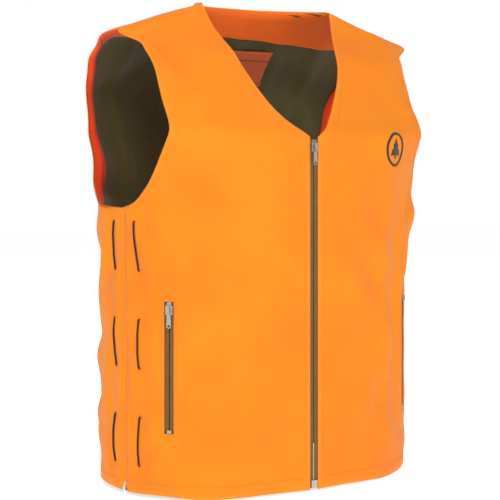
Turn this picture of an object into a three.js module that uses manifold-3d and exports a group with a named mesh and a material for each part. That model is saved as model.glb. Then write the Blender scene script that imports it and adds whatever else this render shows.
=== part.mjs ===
// Blaze orange field vest: sleeveless, V neck, separating front zip, two zipped
// hand pockets and an elastic lace down each side. Millimetres, +Z up, +X the
// wearer's left, -Y the front. The hem lies in z = 0, and the body's axis stands just behind the origin.

import * as THREE from 'three';
import { mergeVertices } from 'three/addons/utils/BufferGeometryUtils.js';
import Module from 'manifold-3d';

const wasm = await Module();
wasm.setup();

// ---- Body shape -------------------------------------------------------------

const HALF_WIDTH = 240; // body, from the hem to the waist
const HALF_DEPTH = 156; // front zip and centre back, from the body's axis
const CHEST_SPREAD = 22; // extra half width at the top of the armholes
const SIDE_SEAM_LENGTH = 400; // hem to armpit
const ARMHOLE_HEIGHT = 254; // armpit to shoulder tip
const SHOULDER_DROP = 42; // neck point down to shoulder tip
const BACK_NECK_RISE = 9; // back neck edge above the neck points
const VEE_DEPTH = 196; // neck points down to the bottom of the V
const NECK_HALF_WIDTH = 110;
const TIP_HALF_WIDTH = 239; // shoulder tip
const SHOULDER_SHIFT = 31; // shoulder seam in front of the body's axis
const SIDE_SEAM_SHIFT = 32; // side seam in front of the body's axis

const ARMPIT_Z = SIDE_SEAM_LENGTH;
const TIP_Z = ARMPIT_Z + ARMHOLE_HEIGHT;
const NECK_Z = TIP_Z + SHOULDER_DROP;
const BACK_NECK_Z = NECK_Z + BACK_NECK_RISE;
const VEE_Z = NECK_Z - VEE_DEPTH;

// ---- Cloth layers, as depths inwards from the outer surface -------------------

const SHELL = 1.2; // thickness of the orange shell
const LINING = 0.8; // thickness of lining and facings
const LINING_DEPTH = 2.8; // outer side of lining and facings
const SEAM_GAP = 0.3; // between cloth pieces sewn edge to edge
const BAND_GAP = 0.6; // between a back armhole facing and the lining, which meet on a sharp bend
const FOLD_GAP = 0.6; // round the front's edge piece, which folds open at its outer side
const HEM_LIFT = 1.0; // lining and facings above the shell's hem
const FACING_WIDTH = 85; // front facing and neck facing, from the zip
const NECK_FACING_HEIGHT = 40; // back neck facing
const ARMHOLE_FACING_DROP = 32; // armhole facing below the armpit

// ---- Zips -------------------------------------------------------------------

const ZIP_GAP = 13; // visible tape between the shell's two edges
const TAPE_INNER = 0.8; // tape edge from the zip's centre line
const TAPE_DEPTH = 1.8; // outer side of the tapes
const TAPE = 0.6; // thickness of a tape
const TAPE_REACH = 12; // outer edge of a tape from the centre line
const COIL_WIDTH = 2.2;
const COIL_HEIGHT = 1.8;
const ZIP_CLEARANCE = 0.3; // running clearance of the slider
const SLIDER_LENGTH = 13;
const SLIDER_WIDTH = 10;
const SLIDER_WALL = 1.2;
const SLIDER_PROUD = 0.6; // slider's face in front of the shell
const POST = 1.0; // width of the slider's diamond between the tapes
const BRIDGE_HEIGHT = 3.2; // bridge over the puller's bar
const PULLER_LENGTH = 25;
const PULLER_WIDTH = 6.4;
const PULLER = 1.2; // thickness of the puller and of its bar
const ZIP_END = 4; // zip's ends from the hem and from the V
const STOP_LENGTH = 4;
const RETAINER_LENGTH = 11;

// ---- Hand pockets --------------------------------------------------------------

const POCKET_FROM_SIDE = 38; // pocket zip in from the body's half width
const POCKET_BOTTOM = 91;
const POCKET_LENGTH = 181;
const POCKET_STRIP = 20; // flat strip of shell that holds the pocket zip, as a step in x
const BAG_MARGIN = 24; // bag below and above the pocket's mouth
const BAG_WALL = 0.6;
const BAG_DEPTH = 2.8;
const BAG_HOLLOW = 3.4;
const BAG_FROM_FACING = 30;

// ---- Side laces ------------------------------------------------------------------

const CORD = 2.6; // diameter of the elastic cord
const CORD_CLEARANCE = 0.35;
const LACE_SPACING = 53; // between the two columns of holes
const LACE_HOLES = 6; // holes in a column
const LACE_BOTTOM = 42;
const LACE_TOP_MARGIN = 19; // top holes below the armpit
const LACE_NEAR = 4.0; // cord's centre behind the shell
const LACE_FAR = 7.0; // and where it crosses itself
const LACE_ROOM = 9.0; // depth of the lining behind the laces
const ARMPIT_ROOM = 4.0; // and at the armpit, where the edges turn sharply

// ---- Emblem and label ----------------------------------------------------------------

const EMBLEM_X = 150;
const EMBLEM_BELOW_VEE = 16;
const EMBLEM_WIDTH = 40;
const EMBLEM_HEIGHT = 50;
const EMBLEM_RING = 4;
const EMBLEM_THICKNESS = 0.8;
const EMBLEM_GAP = 1.8; // badge's back to the curved shell
const LABEL_X = 52;
const LABEL_BELOW_NECK = 84;
const LABEL_WIDTH = 80;
const LABEL_HEIGHT = 54;
const LABEL_THICKNESS = 0.5;
const LABEL_GAP = 0.8; // label's back to the curved lining

// ---- Materials ---------------------------------------------------------------------------

const cloth = (color, roughness) => new THREE.MeshStandardMaterial({ color, roughness, metalness: 0 });
const shellOrange = cloth(0xf7931d, 0.75);
const facingOrange = cloth(0xf06a23, 0.75);
const armholeOrange = cloth(0xf0401e, 0.75);
const olive = cloth(0x4a3f1c, 0.5);
const taupe = cloth(0x7d5a32, 0.8);
const black = cloth(0x17120f, 0.8);
const nickel = new THREE.MeshStandardMaterial({ color: 0xb9b4ac, roughness: 0.35, metalness: 1 });

const vest = new THREE.Group();

function addMesh(parent, name, geometry, material) {
  geometry.computeVertexNormals();
  const mesh = new THREE.Mesh(geometry, material);
  mesh.name = name;
  parent.add(mesh);
  return mesh;
}

// ---- Solids -----------------------------------------------------------------------------------

function toSolid(geometry) {
  const plain = geometry.clone();
  plain.deleteAttribute('normal');
  plain.deleteAttribute('uv');
  const merged = mergeVertices(plain, 1e-4);
  const vertProperties = new Float32Array(merged.attributes.position.array);
  const triVerts = new Uint32Array(merged.index.array);
  return new wasm.Manifold(new wasm.Mesh({ numProp: 3, vertProperties, triVerts }));
}

function toGeometry(solid) {
  const mesh = solid.getMesh();
  const geometry = new THREE.BufferGeometry();
  geometry.setAttribute('position', new THREE.BufferAttribute(new Float32Array(mesh.vertProperties), 3));
  geometry.setIndex(new THREE.BufferAttribute(new Uint32Array(mesh.triVerts), 1));
  geometry.computeVertexNormals();
  return geometry;
}

function cut(geometry, ...tools) {
  return toGeometry(tools.reduce((solid, tool) => solid.subtract(toSolid(tool)), toSolid(geometry)));
}

function join(geometry, ...others) {
  return toGeometry(others.reduce((solid, other) => solid.add(toSolid(other)), toSolid(geometry)));
}

// A box between two corners.
function block(x0, x1, y0, y1, z0, z1) {
  const geometry = new THREE.BoxGeometry(x1 - x0, y1 - y0, z1 - z0);
  return geometry.translate((x0 + x1) / 2, (y0 + y1) / 2, (z0 + z1) / 2);
}

// A closed outline drawn in X and Y, extruded upwards from z0.
function prism(points, z0, length) {
  const shape = new THREE.Shape(points.map(([x, y]) => new THREE.Vector2(x, y)));
  return new THREE.ExtrudeGeometry(shape, { depth: length, bevelEnabled: false }).translate(0, 0, z0);
}

// ---- Body surface -------------------------------------------------------------------------------

const { lerp, clamp } = THREE.MathUtils;

// A smooth curve without overshoot through [position, value] stations.
function profile(stations) {
  const last = stations.length - 1;
  const slope = stations.slice(1).map(([x, y], k) => (y - stations[k][1]) / (x - stations[k][0]));
  const tangent = stations.map((station, k) => {
    if (k === 0) return slope[0];
    if (k === last) return slope[last - 1];
    if (slope[k - 1] * slope[k] <= 0) return 0;
    const limit = 3 * Math.min(Math.abs(slope[k - 1]), Math.abs(slope[k]));
    return clamp((slope[k - 1] + slope[k]) / 2, -limit, limit);
  });
  return (position) => {
    const x = clamp(position, stations[0][0], stations[last][0]);
    const k = clamp(stations.findIndex((station) => station[0] >= x) - 1, 0, last - 1);
    const [x0, y0] = stations[k];
    const [x1, y1] = stations[k + 1];
    const h = x1 - x0;
    const t = (x - x0) / h;
    const rise = (3 - 2 * t) * t * t;
    const ends = tangent[k] * t * (1 - t) ** 2 - tangent[k + 1] * t * t * (1 - t);
    return lerp(y0, y1, rise) + h * ends;
  };
}

const overArmhole = (share) => lerp(ARMPIT_Z, NECK_Z, share);
const overVee = (share) => lerp(VEE_Z, NECK_Z, share);

const bodyHalfWidth = profile([
  [0, HALF_WIDTH], [0.75 * ARMPIT_Z, HALF_WIDTH], [ARMPIT_Z, HALF_WIDTH + CHEST_SPREAD * 0.23],
  [overArmhole(0.34), HALF_WIDTH + CHEST_SPREAD * 0.64], [overArmhole(0.59), HALF_WIDTH + CHEST_SPREAD * 0.91],
  [TIP_Z, HALF_WIDTH + CHEST_SPREAD],
]);
// The front leans back from the bottom of the V to the shoulder seam.
const frontDepth = profile([
  [0, HALF_DEPTH], [VEE_Z, HALF_DEPTH], [overVee(0.163), HALF_DEPTH - 32], [overVee(0.27), HALF_DEPTH - 50],
  [overVee(0.459), HALF_DEPTH - 74], [overVee(0.607), HALF_DEPTH - 96], [overVee(0.786), HALF_DEPTH - 130],
  [NECK_Z, HALF_DEPTH - 148], [BACK_NECK_Z, HALF_DEPTH - 149],
]);
// The back swells over the shoulder blades and closes in at the neck.
const backDepth = profile([
  [0, HALF_DEPTH], [ARMPIT_Z / 2, HALF_DEPTH - 6], [ARMPIT_Z, HALF_DEPTH - 4],
  [overArmhole(0.34), HALF_DEPTH], [overArmhole(0.585), HALF_DEPTH + 14], [overArmhole(0.72), HALF_DEPTH + 2],
  [overArmhole(0.858), HALF_DEPTH - 24], [NECK_Z, HALF_DEPTH - 50], [BACK_NECK_Z, HALF_DEPTH - 53],
]);
const middle = profile([
  [0, 0], [VEE_Z, 0], [overVee(0.18), -0.39 * SHOULDER_SHIFT], [overVee(0.459), -0.68 * SHOULDER_SHIFT],
  [overVee(0.786), -SHOULDER_SHIFT], [BACK_NECK_Z, -SHOULDER_SHIFT],
]);
// Section exponent: 2 is an ellipse, and 4 has a flat front and full corners.
const squareness = profile([
  [0, 2.4], [0.75 * ARMPIT_Z, 2.4], [ARMPIT_Z, 2.6], [overArmhole(0.24), 3.0], [overArmhole(0.46), 4.0],
  [overArmhole(0.64), 3.6], [overArmhole(0.74), 3.0], [TIP_Z, 2.4], [NECK_Z, 2.0],
]);

function halfWidth(z) {
  const slope = (TIP_HALF_WIDTH - NECK_HALF_WIDTH) / SHOULDER_DROP;
  const shoulder = NECK_HALF_WIDTH + 2 + (NECK_Z - Math.min(z, NECK_Z)) * slope;
  const body = bodyHalfWidth(z);
  return (body + shoulder - Math.hypot(body - shoulder, 14)) / 2;
}

// Angle around the body: 0 at the centre front, a quarter turn at the side, a half turn at the centre back.
function surfacePoint(angle, z) {
  const power = 2 / squareness(z);
  const across = Math.sin(angle);
  const along = Math.cos(angle);
  const depth = along > 0 ? frontDepth(z) : backDepth(z);
  const x = halfWidth(z) * Math.sign(across) * Math.abs(across) ** power;
  const y = middle(z) - depth * Math.sign(along) * Math.abs(along) ** power;
  return new THREE.Vector3(x, y, z);
}

function angleOfX(x, z) {
  return Math.asin(clamp(x / halfWidth(z), 0, 1) ** (squareness(z) / 2));
}

function angleOfY(y, z) {
  return Math.acos(clamp((middle(z) - y) / frontDepth(z), 0, 1) ** (squareness(z) / 2));
}

// How far a point lies outside the section at its height, as a smooth measure.
function outside({ x, y, z }) {
  const away = y - middle(z);
  const depth = away < 0 ? frontDepth(z) : backDepth(z);
  const n = squareness(z);
  return Math.abs(x / halfWidth(z)) ** n + Math.abs(away / depth) ** n;
}

function surfaceNormal(point) {
  const step = 0.5;
  const at = (dx, dy, dz) => outside({ x: point.x + dx, y: point.y + dy, z: point.z + dz });
  const gradient = new THREE.Vector3(
    at(step, 0, 0) - at(-step, 0, 0),
    at(0, step, 0) - at(0, -step, 0),
    at(0, 0, step) - at(0, 0, -step),
  );
  return gradient.normalize();
}

// ---- Panels: grids of rows and columns over the surface ------------------------------------------

const RADIAN = Math.PI / 180;
const UPPER_ROWS = 9; // from the armpit's level to the shoulder seam
const ARMHOLE_EASE = 18; // degrees

// Rows of the lower body as shares of its height, with lines at the pocket bag and the armhole facing.
const pocketX = HALF_WIDTH - POCKET_FROM_SIDE;
const POCKET_SHARE = 0.78; // pocket's place between the zip and the side seam
// Top of a front column's lower part: it falls from the V and is level near the armpit.
const LEVEL_SHARE = 0.9;
const cornerHeight = (share) => lerp(VEE_Z, ARMPIT_Z, Math.min(share / LEVEL_SHARE, 1));
const pocketColumnHeight = cornerHeight(POCKET_SHARE);
const bagLow = (POCKET_BOTTOM - BAG_MARGIN) / pocketColumnHeight;
const bagHigh = (POCKET_BOTTOM + POCKET_LENGTH + BAG_MARGIN) / pocketColumnHeight;
const facingLow = 1 - ARMHOLE_FACING_DROP / ARMPIT_Z;
const lowerRows = [
  0, bagLow, lerp(bagLow, bagHigh, 1 / 3), lerp(bagLow, bagHigh, 2 / 3), bagHigh,
  lerp(bagHigh, facingLow, 0.5), facingLow, 1,
];
const ROW = { hem: 0, bagLow: 1, bagHigh: 4, facing: 6, armpit: 7, shoulder: 7 + UPPER_ROWS };

// Upper rows crowd together at the armpit and at the shoulder, where the edges turn.
const eased = (t) => t * t * (3 - 2 * t);

// Keeps the columns beside an armhole apart where its edge runs upwards.
const armholeEase = (s, t) => ARMHOLE_EASE * RADIAN * s * s * Math.sqrt(1 - s) * Math.sin(Math.PI * t);

// A patch of the upper body between four edge curves, blended from them (a Coons patch).
function blendEdges(bottom, top, inner, outer, s, t) {
  const ruledUp = lerp(bottom(s), top(s), t);
  const innerExcess = inner(t) - lerp(inner(0), inner(1), t);
  const outerExcess = outer(t) - lerp(outer(0), outer(1), t);
  return ruledUp + lerp(innerExcess, outerExcess, s);
}

const veeEdge = profile([
  [VEE_Z, ZIP_GAP / 2], [overVee(0.087), 0.255 * NECK_HALF_WIDTH], [overVee(0.27), 0.518 * NECK_HALF_WIDTH],
  [overVee(0.51), 0.755 * NECK_HALF_WIDTH], [overVee(0.658), 0.836 * NECK_HALF_WIDTH],
  [overVee(0.827), 0.945 * NECK_HALF_WIDTH], [NECK_Z, halfWidth(NECK_Z)],
]);
const overTip = (share) => lerp(ARMPIT_Z, TIP_Z, share);
const seamAngle = angleOfY(-SIDE_SEAM_SHIFT, ARMPIT_Z) / RADIAN;
const frontArmhole = profile([
  [ARMPIT_Z, seamAngle], [overTip(0.016), 75], [overTip(0.05), 69.7], [overTip(0.134), 62.5],
  [overTip(0.276), 54.9], [overTip(0.52), 44.4], [overTip(0.748), 46.3], [overTip(0.862), 52.7],
  [overTip(0.917), 57.4], [TIP_Z, 90],
]);
const backArmhole = profile([
  [ARMPIT_Z, seamAngle], [overTip(0.012), 95], [overTip(0.04), 106], [overTip(0.09), 113],
  [overTip(0.236), 121], [overTip(0.39), 127.6], [overTip(0.52), 130.6], [overTip(0.677), 126.6],
  [overTip(0.835), 118], [overTip(0.933), 113.6], [TIP_Z, 90],
]);

// Columns of a front panel, from the zip to the side seam, each with its share of the panel's width.
const bagFrontX = FACING_WIDTH + BAG_FROM_FACING;
const stripFrontX = pocketX - POCKET_STRIP / 2;
const frontColumns = [
  { share: 0, x: ZIP_GAP / 2 },
  { share: 0.09, x: lerp(ZIP_GAP / 2, FACING_WIDTH, 1 / 3) },
  { share: 0.18, x: lerp(ZIP_GAP / 2, FACING_WIDTH, 2 / 3) },
  { share: 0.27, x: FACING_WIDTH },
  { share: 0.38, x: bagFrontX },
  { share: 0.48, x: lerp(bagFrontX, stripFrontX, 1 / 3) },
  { share: 0.58, x: lerp(bagFrontX, stripFrontX, 2 / 3) },
  { share: 0.69, x: stripFrontX },
  { share: POCKET_SHARE, x: stripFrontX + POCKET_STRIP },
  { share: 0.91, y: -SIDE_SEAM_SHIFT - LACE_SPACING / 2 },
  { share: 1, y: -SIDE_SEAM_SHIFT },
];
const FRONT = { zip: 0, facing: 3, bag: 4, stripFront: 7, stripRear: 8, lace: 9, seam: 10 };

const frontColumnAngle = ({ x, y }, z) => (x === undefined ? angleOfY(y, z) : angleOfX(x, z));

function frontNode(i, j) {
  const column = frontColumns[i];
  const corner = cornerHeight(column.share);
  if (j <= ROW.armpit) {
    const z = corner * lowerRows[j];
    return { angle: frontColumnAngle(column, z), z };
  }
  const t = (j - ROW.armpit) / UPPER_ROWS;
  const innerZ = (u) => lerp(VEE_Z, NECK_Z, eased(u));
  const outerZ = (u) => lerp(ARMPIT_Z, TIP_Z, lerp(u, eased(u), 0.6));
  const innerAngle = (u) => angleOfX(veeEdge(innerZ(u)), innerZ(u));
  const outerAngle = (u) => frontArmhole(outerZ(u)) * RADIAN;
  const bottomAngle = () => frontColumnAngle(column, corner);
  const angle = blendEdges(bottomAngle, () => Math.PI / 2, innerAngle, outerAngle, column.share, t)
    - armholeEase(column.share, t);
  const seamZ = () => lerp(NECK_Z, TIP_Z, column.share);
  const z = blendEdges(() => corner, seamZ, innerZ, outerZ, column.share, t);
  return { angle: clamp(angle, 0, Math.PI / 2), z };
}

// Columns of half the back panel, from the centre back to the side seam.
const backColumns = [
  { share: 0, degrees: 180 }, { share: 0.17, degrees: 169 }, { share: 0.311, degrees: 157 },
  { share: 0.434, degrees: 145 }, { share: 0.543, degrees: 133 }, { share: 0.634, degrees: 122 },
  { share: 0.72, degrees: 111 }, { share: 0.808, degrees: 100 },
  { share: 0.924, y: -SIDE_SEAM_SHIFT + LACE_SPACING / 2 }, { share: 1, y: -SIDE_SEAM_SHIFT },
];
const HALF_BACK = backColumns.length - 1;
const BACK = { neck: 4, swell: 7, lace: 8, seam: 9 };

function backNode(i, j) {
  const column = backColumns[Math.abs(i - HALF_BACK)];
  const side = Math.sign(i - HALF_BACK);
  const { share, degrees } = column;
  const corner = ARMPIT_Z;
  const lowAngle = (z) => (degrees === undefined ? angleOfY(column.y, z) : degrees * RADIAN);
  if (j <= ROW.armpit) {
    const z = corner * lowerRows[j];
    return { angle: lowAngle(z), z, side };
  }
  const t = (j - ROW.armpit) / UPPER_ROWS;
  const neckShare = backColumns[BACK.neck].share;
  const overNeck = Math.min(share / neckShare, 1);
  const downShoulder = Math.max((share - neckShare) / (1 - neckShare), 0);
  const topZ = () => lerp(lerp(BACK_NECK_Z, NECK_Z, overNeck ** 2), TIP_Z, downShoulder);
  const facingRow = 1 - 2 / UPPER_ROWS; // two rows of cells hold the neck facing
  const facingZ = BACK_NECK_Z - NECK_FACING_HEIGHT;
  const innerZ = (u) => (u < facingRow
    ? lerp(ARMPIT_Z, facingZ, u / facingRow)
    : lerp(facingZ, BACK_NECK_Z, (u - facingRow) / (1 - facingRow)));
  const outerZ = (u) => lerp(ARMPIT_Z, TIP_Z, lerp(eased(u), Math.sin(u * Math.PI / 2), 0.6));
  const outerAngle = (u) => backArmhole(outerZ(u)) * RADIAN;
  const topAngle = () => Math.PI - overNeck * Math.PI / 2;
  const angle = blendEdges(() => lowAngle(corner), topAngle, () => Math.PI, outerAngle, share, t)
    + armholeEase(share, t);
  const z = blendEdges(() => corner, topZ, innerZ, outerZ, share, t);
  return { angle: Math.max(angle, Math.min(lowAngle(corner), Math.PI / 2)), z, side };
}

// A panel keeps its grid's points and normals, and gives any place between them on the flat facets.
function makePanel(node, columns, side) {
  const grid = [];
  for (let i = 0; i <= columns; i += 1) {
    const line = [];
    for (let j = 0; j <= ROW.shoulder; j += 1) {
      const place = node(i, j);
      const point = surfacePoint(place.angle, place.z);
      const normal = surfaceNormal(point);
      if (j === ROW.hem) normal.setZ(0); // the hem's edge is level
      const flip = side ?? place.side;
      line.push({ point: new THREE.Vector3(point.x * flip, point.y, point.z),
        normal: new THREE.Vector3(normal.x * flip, normal.y, normal.z).normalize() });
    }
    grid.push(line);
  }
  // Each square is split from its low first corner to its high last one, as the sheets' faces are.
  const mix = (key, c, r) => {
    const i = clamp(Math.floor(c), 0, columns - 1);
    const j = clamp(Math.floor(r), 0, ROW.shoulder - 1);
    const [u, v] = [c - i, r - j];
    const [low, high] = [grid[i][j][key], grid[i + 1][j + 1][key]];
    const bend = u >= v ? grid[i + 1][j][key] : grid[i][j + 1][key];
    const [first, second] = u >= v ? [u, v] : [v, u];
    return low.clone().addScaledVector(bend.clone().sub(low), first)
      .addScaledVector(high.clone().sub(bend), second);
  };
  return {
    columns,
    at: (c, r, depth = 0) => mix('point', c, r).addScaledVector(mix('normal', c, r).normalize(), -depth),
  };
}

const leftFront = makePanel(frontNode, FRONT.seam, 1);
const rightFront = makePanel(frontNode, FRONT.seam, -1);
const back = makePanel(backNode, 2 * HALF_BACK);

// ---- Sheets: cloth of even thickness over part of a panel -------------------------------------------

const span = (from, to) => Array.from({ length: to - from + 1 }, (_, k) => from + k);

// Moves a column or row by some millimetres, positive towards the next one.
function shifted(panel, column, row, acrossMm, upMm) {
  const stepC = acrossMm < 0 && column > 0 || column >= panel.columns ? -1 : 1;
  const stepR = upMm < 0 && row > 0 || row >= ROW.shoulder ? -1 : 1;
  const here = panel.at(column, row);
  const wide = here.distanceTo(panel.at(column + stepC, row));
  const tall = here.distanceTo(panel.at(column, row + stepR));
  return [column + acrossMm / wide, row + upMm / tall];
}

// A closed sheet over the given columns and rows, less the squares that keep leaves out. Outer and inner
// give depths by column and row, and inset draws each outer edge in by some millimetres.
function sheet(panel, columns, rows, outer, inner, inset = {}, keep = () => true) {
  const { left = SEAM_GAP / 2, right = left, bottom = 0, top = 0 } = inset;
  const [nc, nr] = [columns.length - 1, rows.length - 1];
  const vertex = (a, b, layer) => (layer * (nr + 1) + b) * (nc + 1) + a;
  const positions = [];
  for (const depth of [outer, inner]) {
    for (let b = 0; b <= nr; b += 1) {
      for (let a = 0; a <= nc; a += 1) {
        const across = a === 0 ? left : a === nc ? -right : 0;
        const up = b === 0 ? bottom : b === nr ? -top : 0;
        const [c, r] = shifted(panel, columns[a], rows[b], across, up);
        positions.push(...panel.at(c, r, depth(columns[a], rows[b])));
      }
    }
  }
  const kept = (a, b) => a >= 0 && b >= 0 && a < nc && b < nr && keep(columns[a], rows[b]);
  const triangles = [];
  const quad = (p, q, r, s) => triangles.push(p, q, r, p, r, s);
  for (let a = 0; a < nc; a += 1) {
    for (let b = 0; b < nr; b += 1) {
      if (!kept(a, b)) continue;
      const [low, right1, high, left1] = [[a, b], [a + 1, b], [a + 1, b + 1], [a, b + 1]];
      quad(...[low, right1, high, left1].map((corner) => vertex(...corner, 0)));
      triangles.push(...[[low, high, right1], [low, left1, high]].flat().map((corner) => vertex(...corner, 1)));
      const walls = [
        [a, b - 1, low, right1], [a + 1, b, right1, high], [a, b + 1, high, left1], [a - 1, b, left1, low],
      ];
      for (const [na, nb, from, to] of walls) {
        if (!kept(na, nb)) quad(vertex(...to, 0), vertex(...from, 0), vertex(...from, 1), vertex(...to, 1));
      }
    }
  }
  const geometry = new THREE.BufferGeometry();
  geometry.setAttribute('position', new THREE.Float32BufferAttribute(positions, 3));
  geometry.setIndex(triangles);
  return facingOut(mergeVertices(geometry, 1e-4));
}

function facingOut(geometry) {
  const { position } = geometry.attributes;
  const index = geometry.index.array;
  const corner = (k) => new THREE.Vector3().fromBufferAttribute(position, index[k]);
  let volume = 0;
  for (let k = 0; k < index.length; k += 3) {
    volume += corner(k).dot(corner(k + 1).cross(corner(k + 2)));
  }
  if (volume < 0) {
    for (let k = 0; k < index.length; k += 3) {
      [index[k], index[k + 1]] = [index[k + 1], index[k]];
    }
  }
  return geometry;
}

// Depth of the lining: it steps in behind the pocket bags and behind the side laces.
const BAG_FLOOR = BAG_DEPTH + BAG_HOLLOW + 2 * BAG_WALL;
const bagRoom = BAG_FLOOR + 0.5;
const besideLace = (r) => r >= ROW.bagLow && r <= ROW.facing;
const besideBag = (c, r) => c >= FRONT.bag && c <= FRONT.stripRear && r >= ROW.bagLow && r <= ROW.bagHigh;

function frontLiningDepth(c, r) {
  if (c >= FRONT.lace && besideLace(r)) return LACE_ROOM;
  if (c >= FRONT.lace && r <= ROW.armpit + 1 && r >= ROW.armpit) return ARMPIT_ROOM;
  return besideBag(c, r) ? bagRoom : LINING_DEPTH;
}

function backLiningDepth(c, r) {
  const fromCentre = Math.abs(c - HALF_BACK);
  return fromCentre >= BACK.lace && besideLace(r) ? LACE_ROOM : LINING_DEPTH;
}

const thicker = (depth) => (c, r) => depth(c, r) + LINING;

// ---- Zips ----------------------------------------------------------------------------------------------

// Both halves of a zip and the slider share these depths and half widths.
const coilDepth = TAPE_DEPTH + TAPE + ZIP_CLEARANCE;
const channelFloor = coilDepth + COIL_HEIGHT + ZIP_CLEARANCE;
const coilInner = POST / 2 + ZIP_CLEARANCE + 0.1;
const coilOuter = coilInner + COIL_WIDTH;
const channelWall = coilOuter + ZIP_CLEARANCE + 0.1;
const sliderHalf = SLIDER_WIDTH / 2;

function tapeGeometry(side, bottom, top) {
  const [x0, x1] = side > 0 ? [TAPE_INNER, TAPE_REACH] : [-TAPE_REACH, -TAPE_INNER];
  return block(x0, x1, TAPE_DEPTH, TAPE_DEPTH + TAPE, bottom, top);
}

function coilGeometry(side, bottom, top) {
  const middleX = side * (coilInner + coilOuter) / 2;
  const middleY = coilDepth + COIL_HEIGHT / 2;
  const outline = Array.from({ length: 10 }, (_, k) => {
    const turn = 2 * Math.PI * k / 10;
    return [middleX + COIL_WIDTH / 2 * Math.cos(turn), middleY + COIL_HEIGHT / 2 * Math.sin(turn)];
  });
  return prism(outline, bottom, top - bottom);
}

// Two plates joined by a post between the tapes, with a lip around each coil.
function channelGeometry(front, bottom, length) {
  const face = TAPE_DEPTH - ZIP_CLEARANCE;
  const lip = TAPE_DEPTH + TAPE + ZIP_CLEARANCE + 0.1;
  const backFace = channelFloor + SLIDER_WALL;
  const lipOuter = channelWall + SLIDER_WALL;
  const half = [
    [sliderHalf, front], [sliderHalf, face], [POST / 2, face], [POST / 2, channelFloor],
    [channelWall, channelFloor], [channelWall, lip], [lipOuter, lip], [lipOuter, backFace],
  ];
  const mirrored = half.map(([x, y]) => [-x, y]).reverse();
  return prism([...half, ...mirrored], bottom, length);
}

// The puller's bar turns in this clearance under the bridge.
const barAxis = -SLIDER_PROUD - BRIDGE_HEIGHT / 2 + SLIDER_WALL / 4;
const bridgeReach = 3.8; // half the bridge's length along the zip
const bridgeHalf = 1.2; // half the bridge's width
const bridgeWall = 1.1;

function sliderGeometry(centre) {
  const body = channelGeometry(-SLIDER_PROUD, centre - SLIDER_LENGTH / 2, SLIDER_LENGTH);
  const top = -SLIDER_PROUD - BRIDGE_HEIGHT;
  const outer = block(-bridgeHalf, bridgeHalf, top, 0, centre - bridgeReach, centre + bridgeReach);
  const inside = block(-bridgeHalf - 1, bridgeHalf + 1, top + bridgeWall, -SLIDER_PROUD,
    centre - bridgeReach + bridgeWall, centre + bridgeReach - bridgeWall);
  return join(body, cut(outer, inside));
}

// A tab with a window that the bridge passes through, and a hole at its end.
function pullerGeometry(centre) {
  const half = PULLER_WIDTH / 2;
  const reach = PULLER_LENGTH - half;
  const bar = PULLER / 2;
  const shape = new THREE.Shape();
  shape.moveTo(-half + 1, bar);
  shape.lineTo(half - 1, bar);
  shape.lineTo(half - 0.4, -6);
  shape.lineTo(half, -reach);
  shape.absarc(0, -reach, half, 0, -Math.PI, true);
  shape.lineTo(-half + 0.4, -6);
  const window = new THREE.Path();
  const side = bridgeHalf + 0.4;
  window.setFromPoints([[-side, -bar], [-side, -5.4], [side, -5.4], [side, -bar]]
    .map(([x, y]) => new THREE.Vector2(x, y)));
  const eye = new THREE.Path().absarc(0, -reach, half - 1.3, 0, 2 * Math.PI);
  shape.holes.push(window, eye);
  const tab = new THREE.ExtrudeGeometry(shape, { depth: PULLER, bevelEnabled: false, curveSegments: 6 });
  return tab.translate(0, 0, -PULLER / 2).rotateX(Math.PI / 2).translate(0, barAxis, centre);
}

function stopGeometry(x0, x1, bottom) {
  return block(x0, x1, TAPE_DEPTH - ZIP_CLEARANCE - SLIDER_WALL, TAPE_DEPTH - ZIP_CLEARANCE,
    bottom, bottom + STOP_LENGTH);
}

// ---- Front zip, which comes apart at the hem ---------------------------------------------------------------

function addFrontZip() {
  const zip = new THREE.Group();
  zip.position.set(0, -HALF_DEPTH, 0);
  vest.add(zip);
  const top = VEE_Z - ZIP_END;
  const stopBottom = top - STOP_LENGTH;
  const sliderCentre = stopBottom - 0.5 - SLIDER_LENGTH / 2;
  for (const [name, side] of [['right', -1], ['left', 1]]) {
    addMesh(zip, `${name}_zip_tape`, tapeGeometry(side, ZIP_END, top), taupe);
    addMesh(zip, `${name}_zip_coil`, coilGeometry(side, ZIP_END + 1, stopBottom), taupe);
    const [x0, x1] = side > 0 ? [coilInner, coilOuter] : [-coilOuter, -coilInner];
    addMesh(zip, `${name}_top_stop`, stopGeometry(x0, x1, stopBottom), nickel);
  }
  addMesh(zip, 'retainer_box', channelGeometry(0, ZIP_END, RETAINER_LENGTH), nickel);
  addMesh(zip, 'zip_slider', sliderGeometry(sliderCentre), nickel);
  addMesh(zip, 'zip_puller', pullerGeometry(sliderCentre), nickel);
}

// ---- Pocket zips and bags ---------------------------------------------------------------------------------

// The strip of shell that holds a pocket's zip is flat: its middle and its turn about the vertical.
function pocketPlace(panel, side) {
  const front = panel.at(FRONT.stripFront, ROW.bagLow);
  const rear = panel.at(FRONT.stripRear, ROW.bagLow);
  const centre = front.clone().lerp(rear, 0.5).setZ(0);
  const turn = side * Math.atan2(rear.y - front.y, Math.abs(rear.x - front.x));
  return { centre, turn };
}

function slotGeometry({ centre, turn }, depth) {
  const slot = block(-ZIP_GAP / 2, ZIP_GAP / 2, -4, depth, POCKET_BOTTOM, POCKET_BOTTOM + POCKET_LENGTH);
  return slot.rotateZ(turn).translate(centre.x, centre.y, 0);
}

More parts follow.
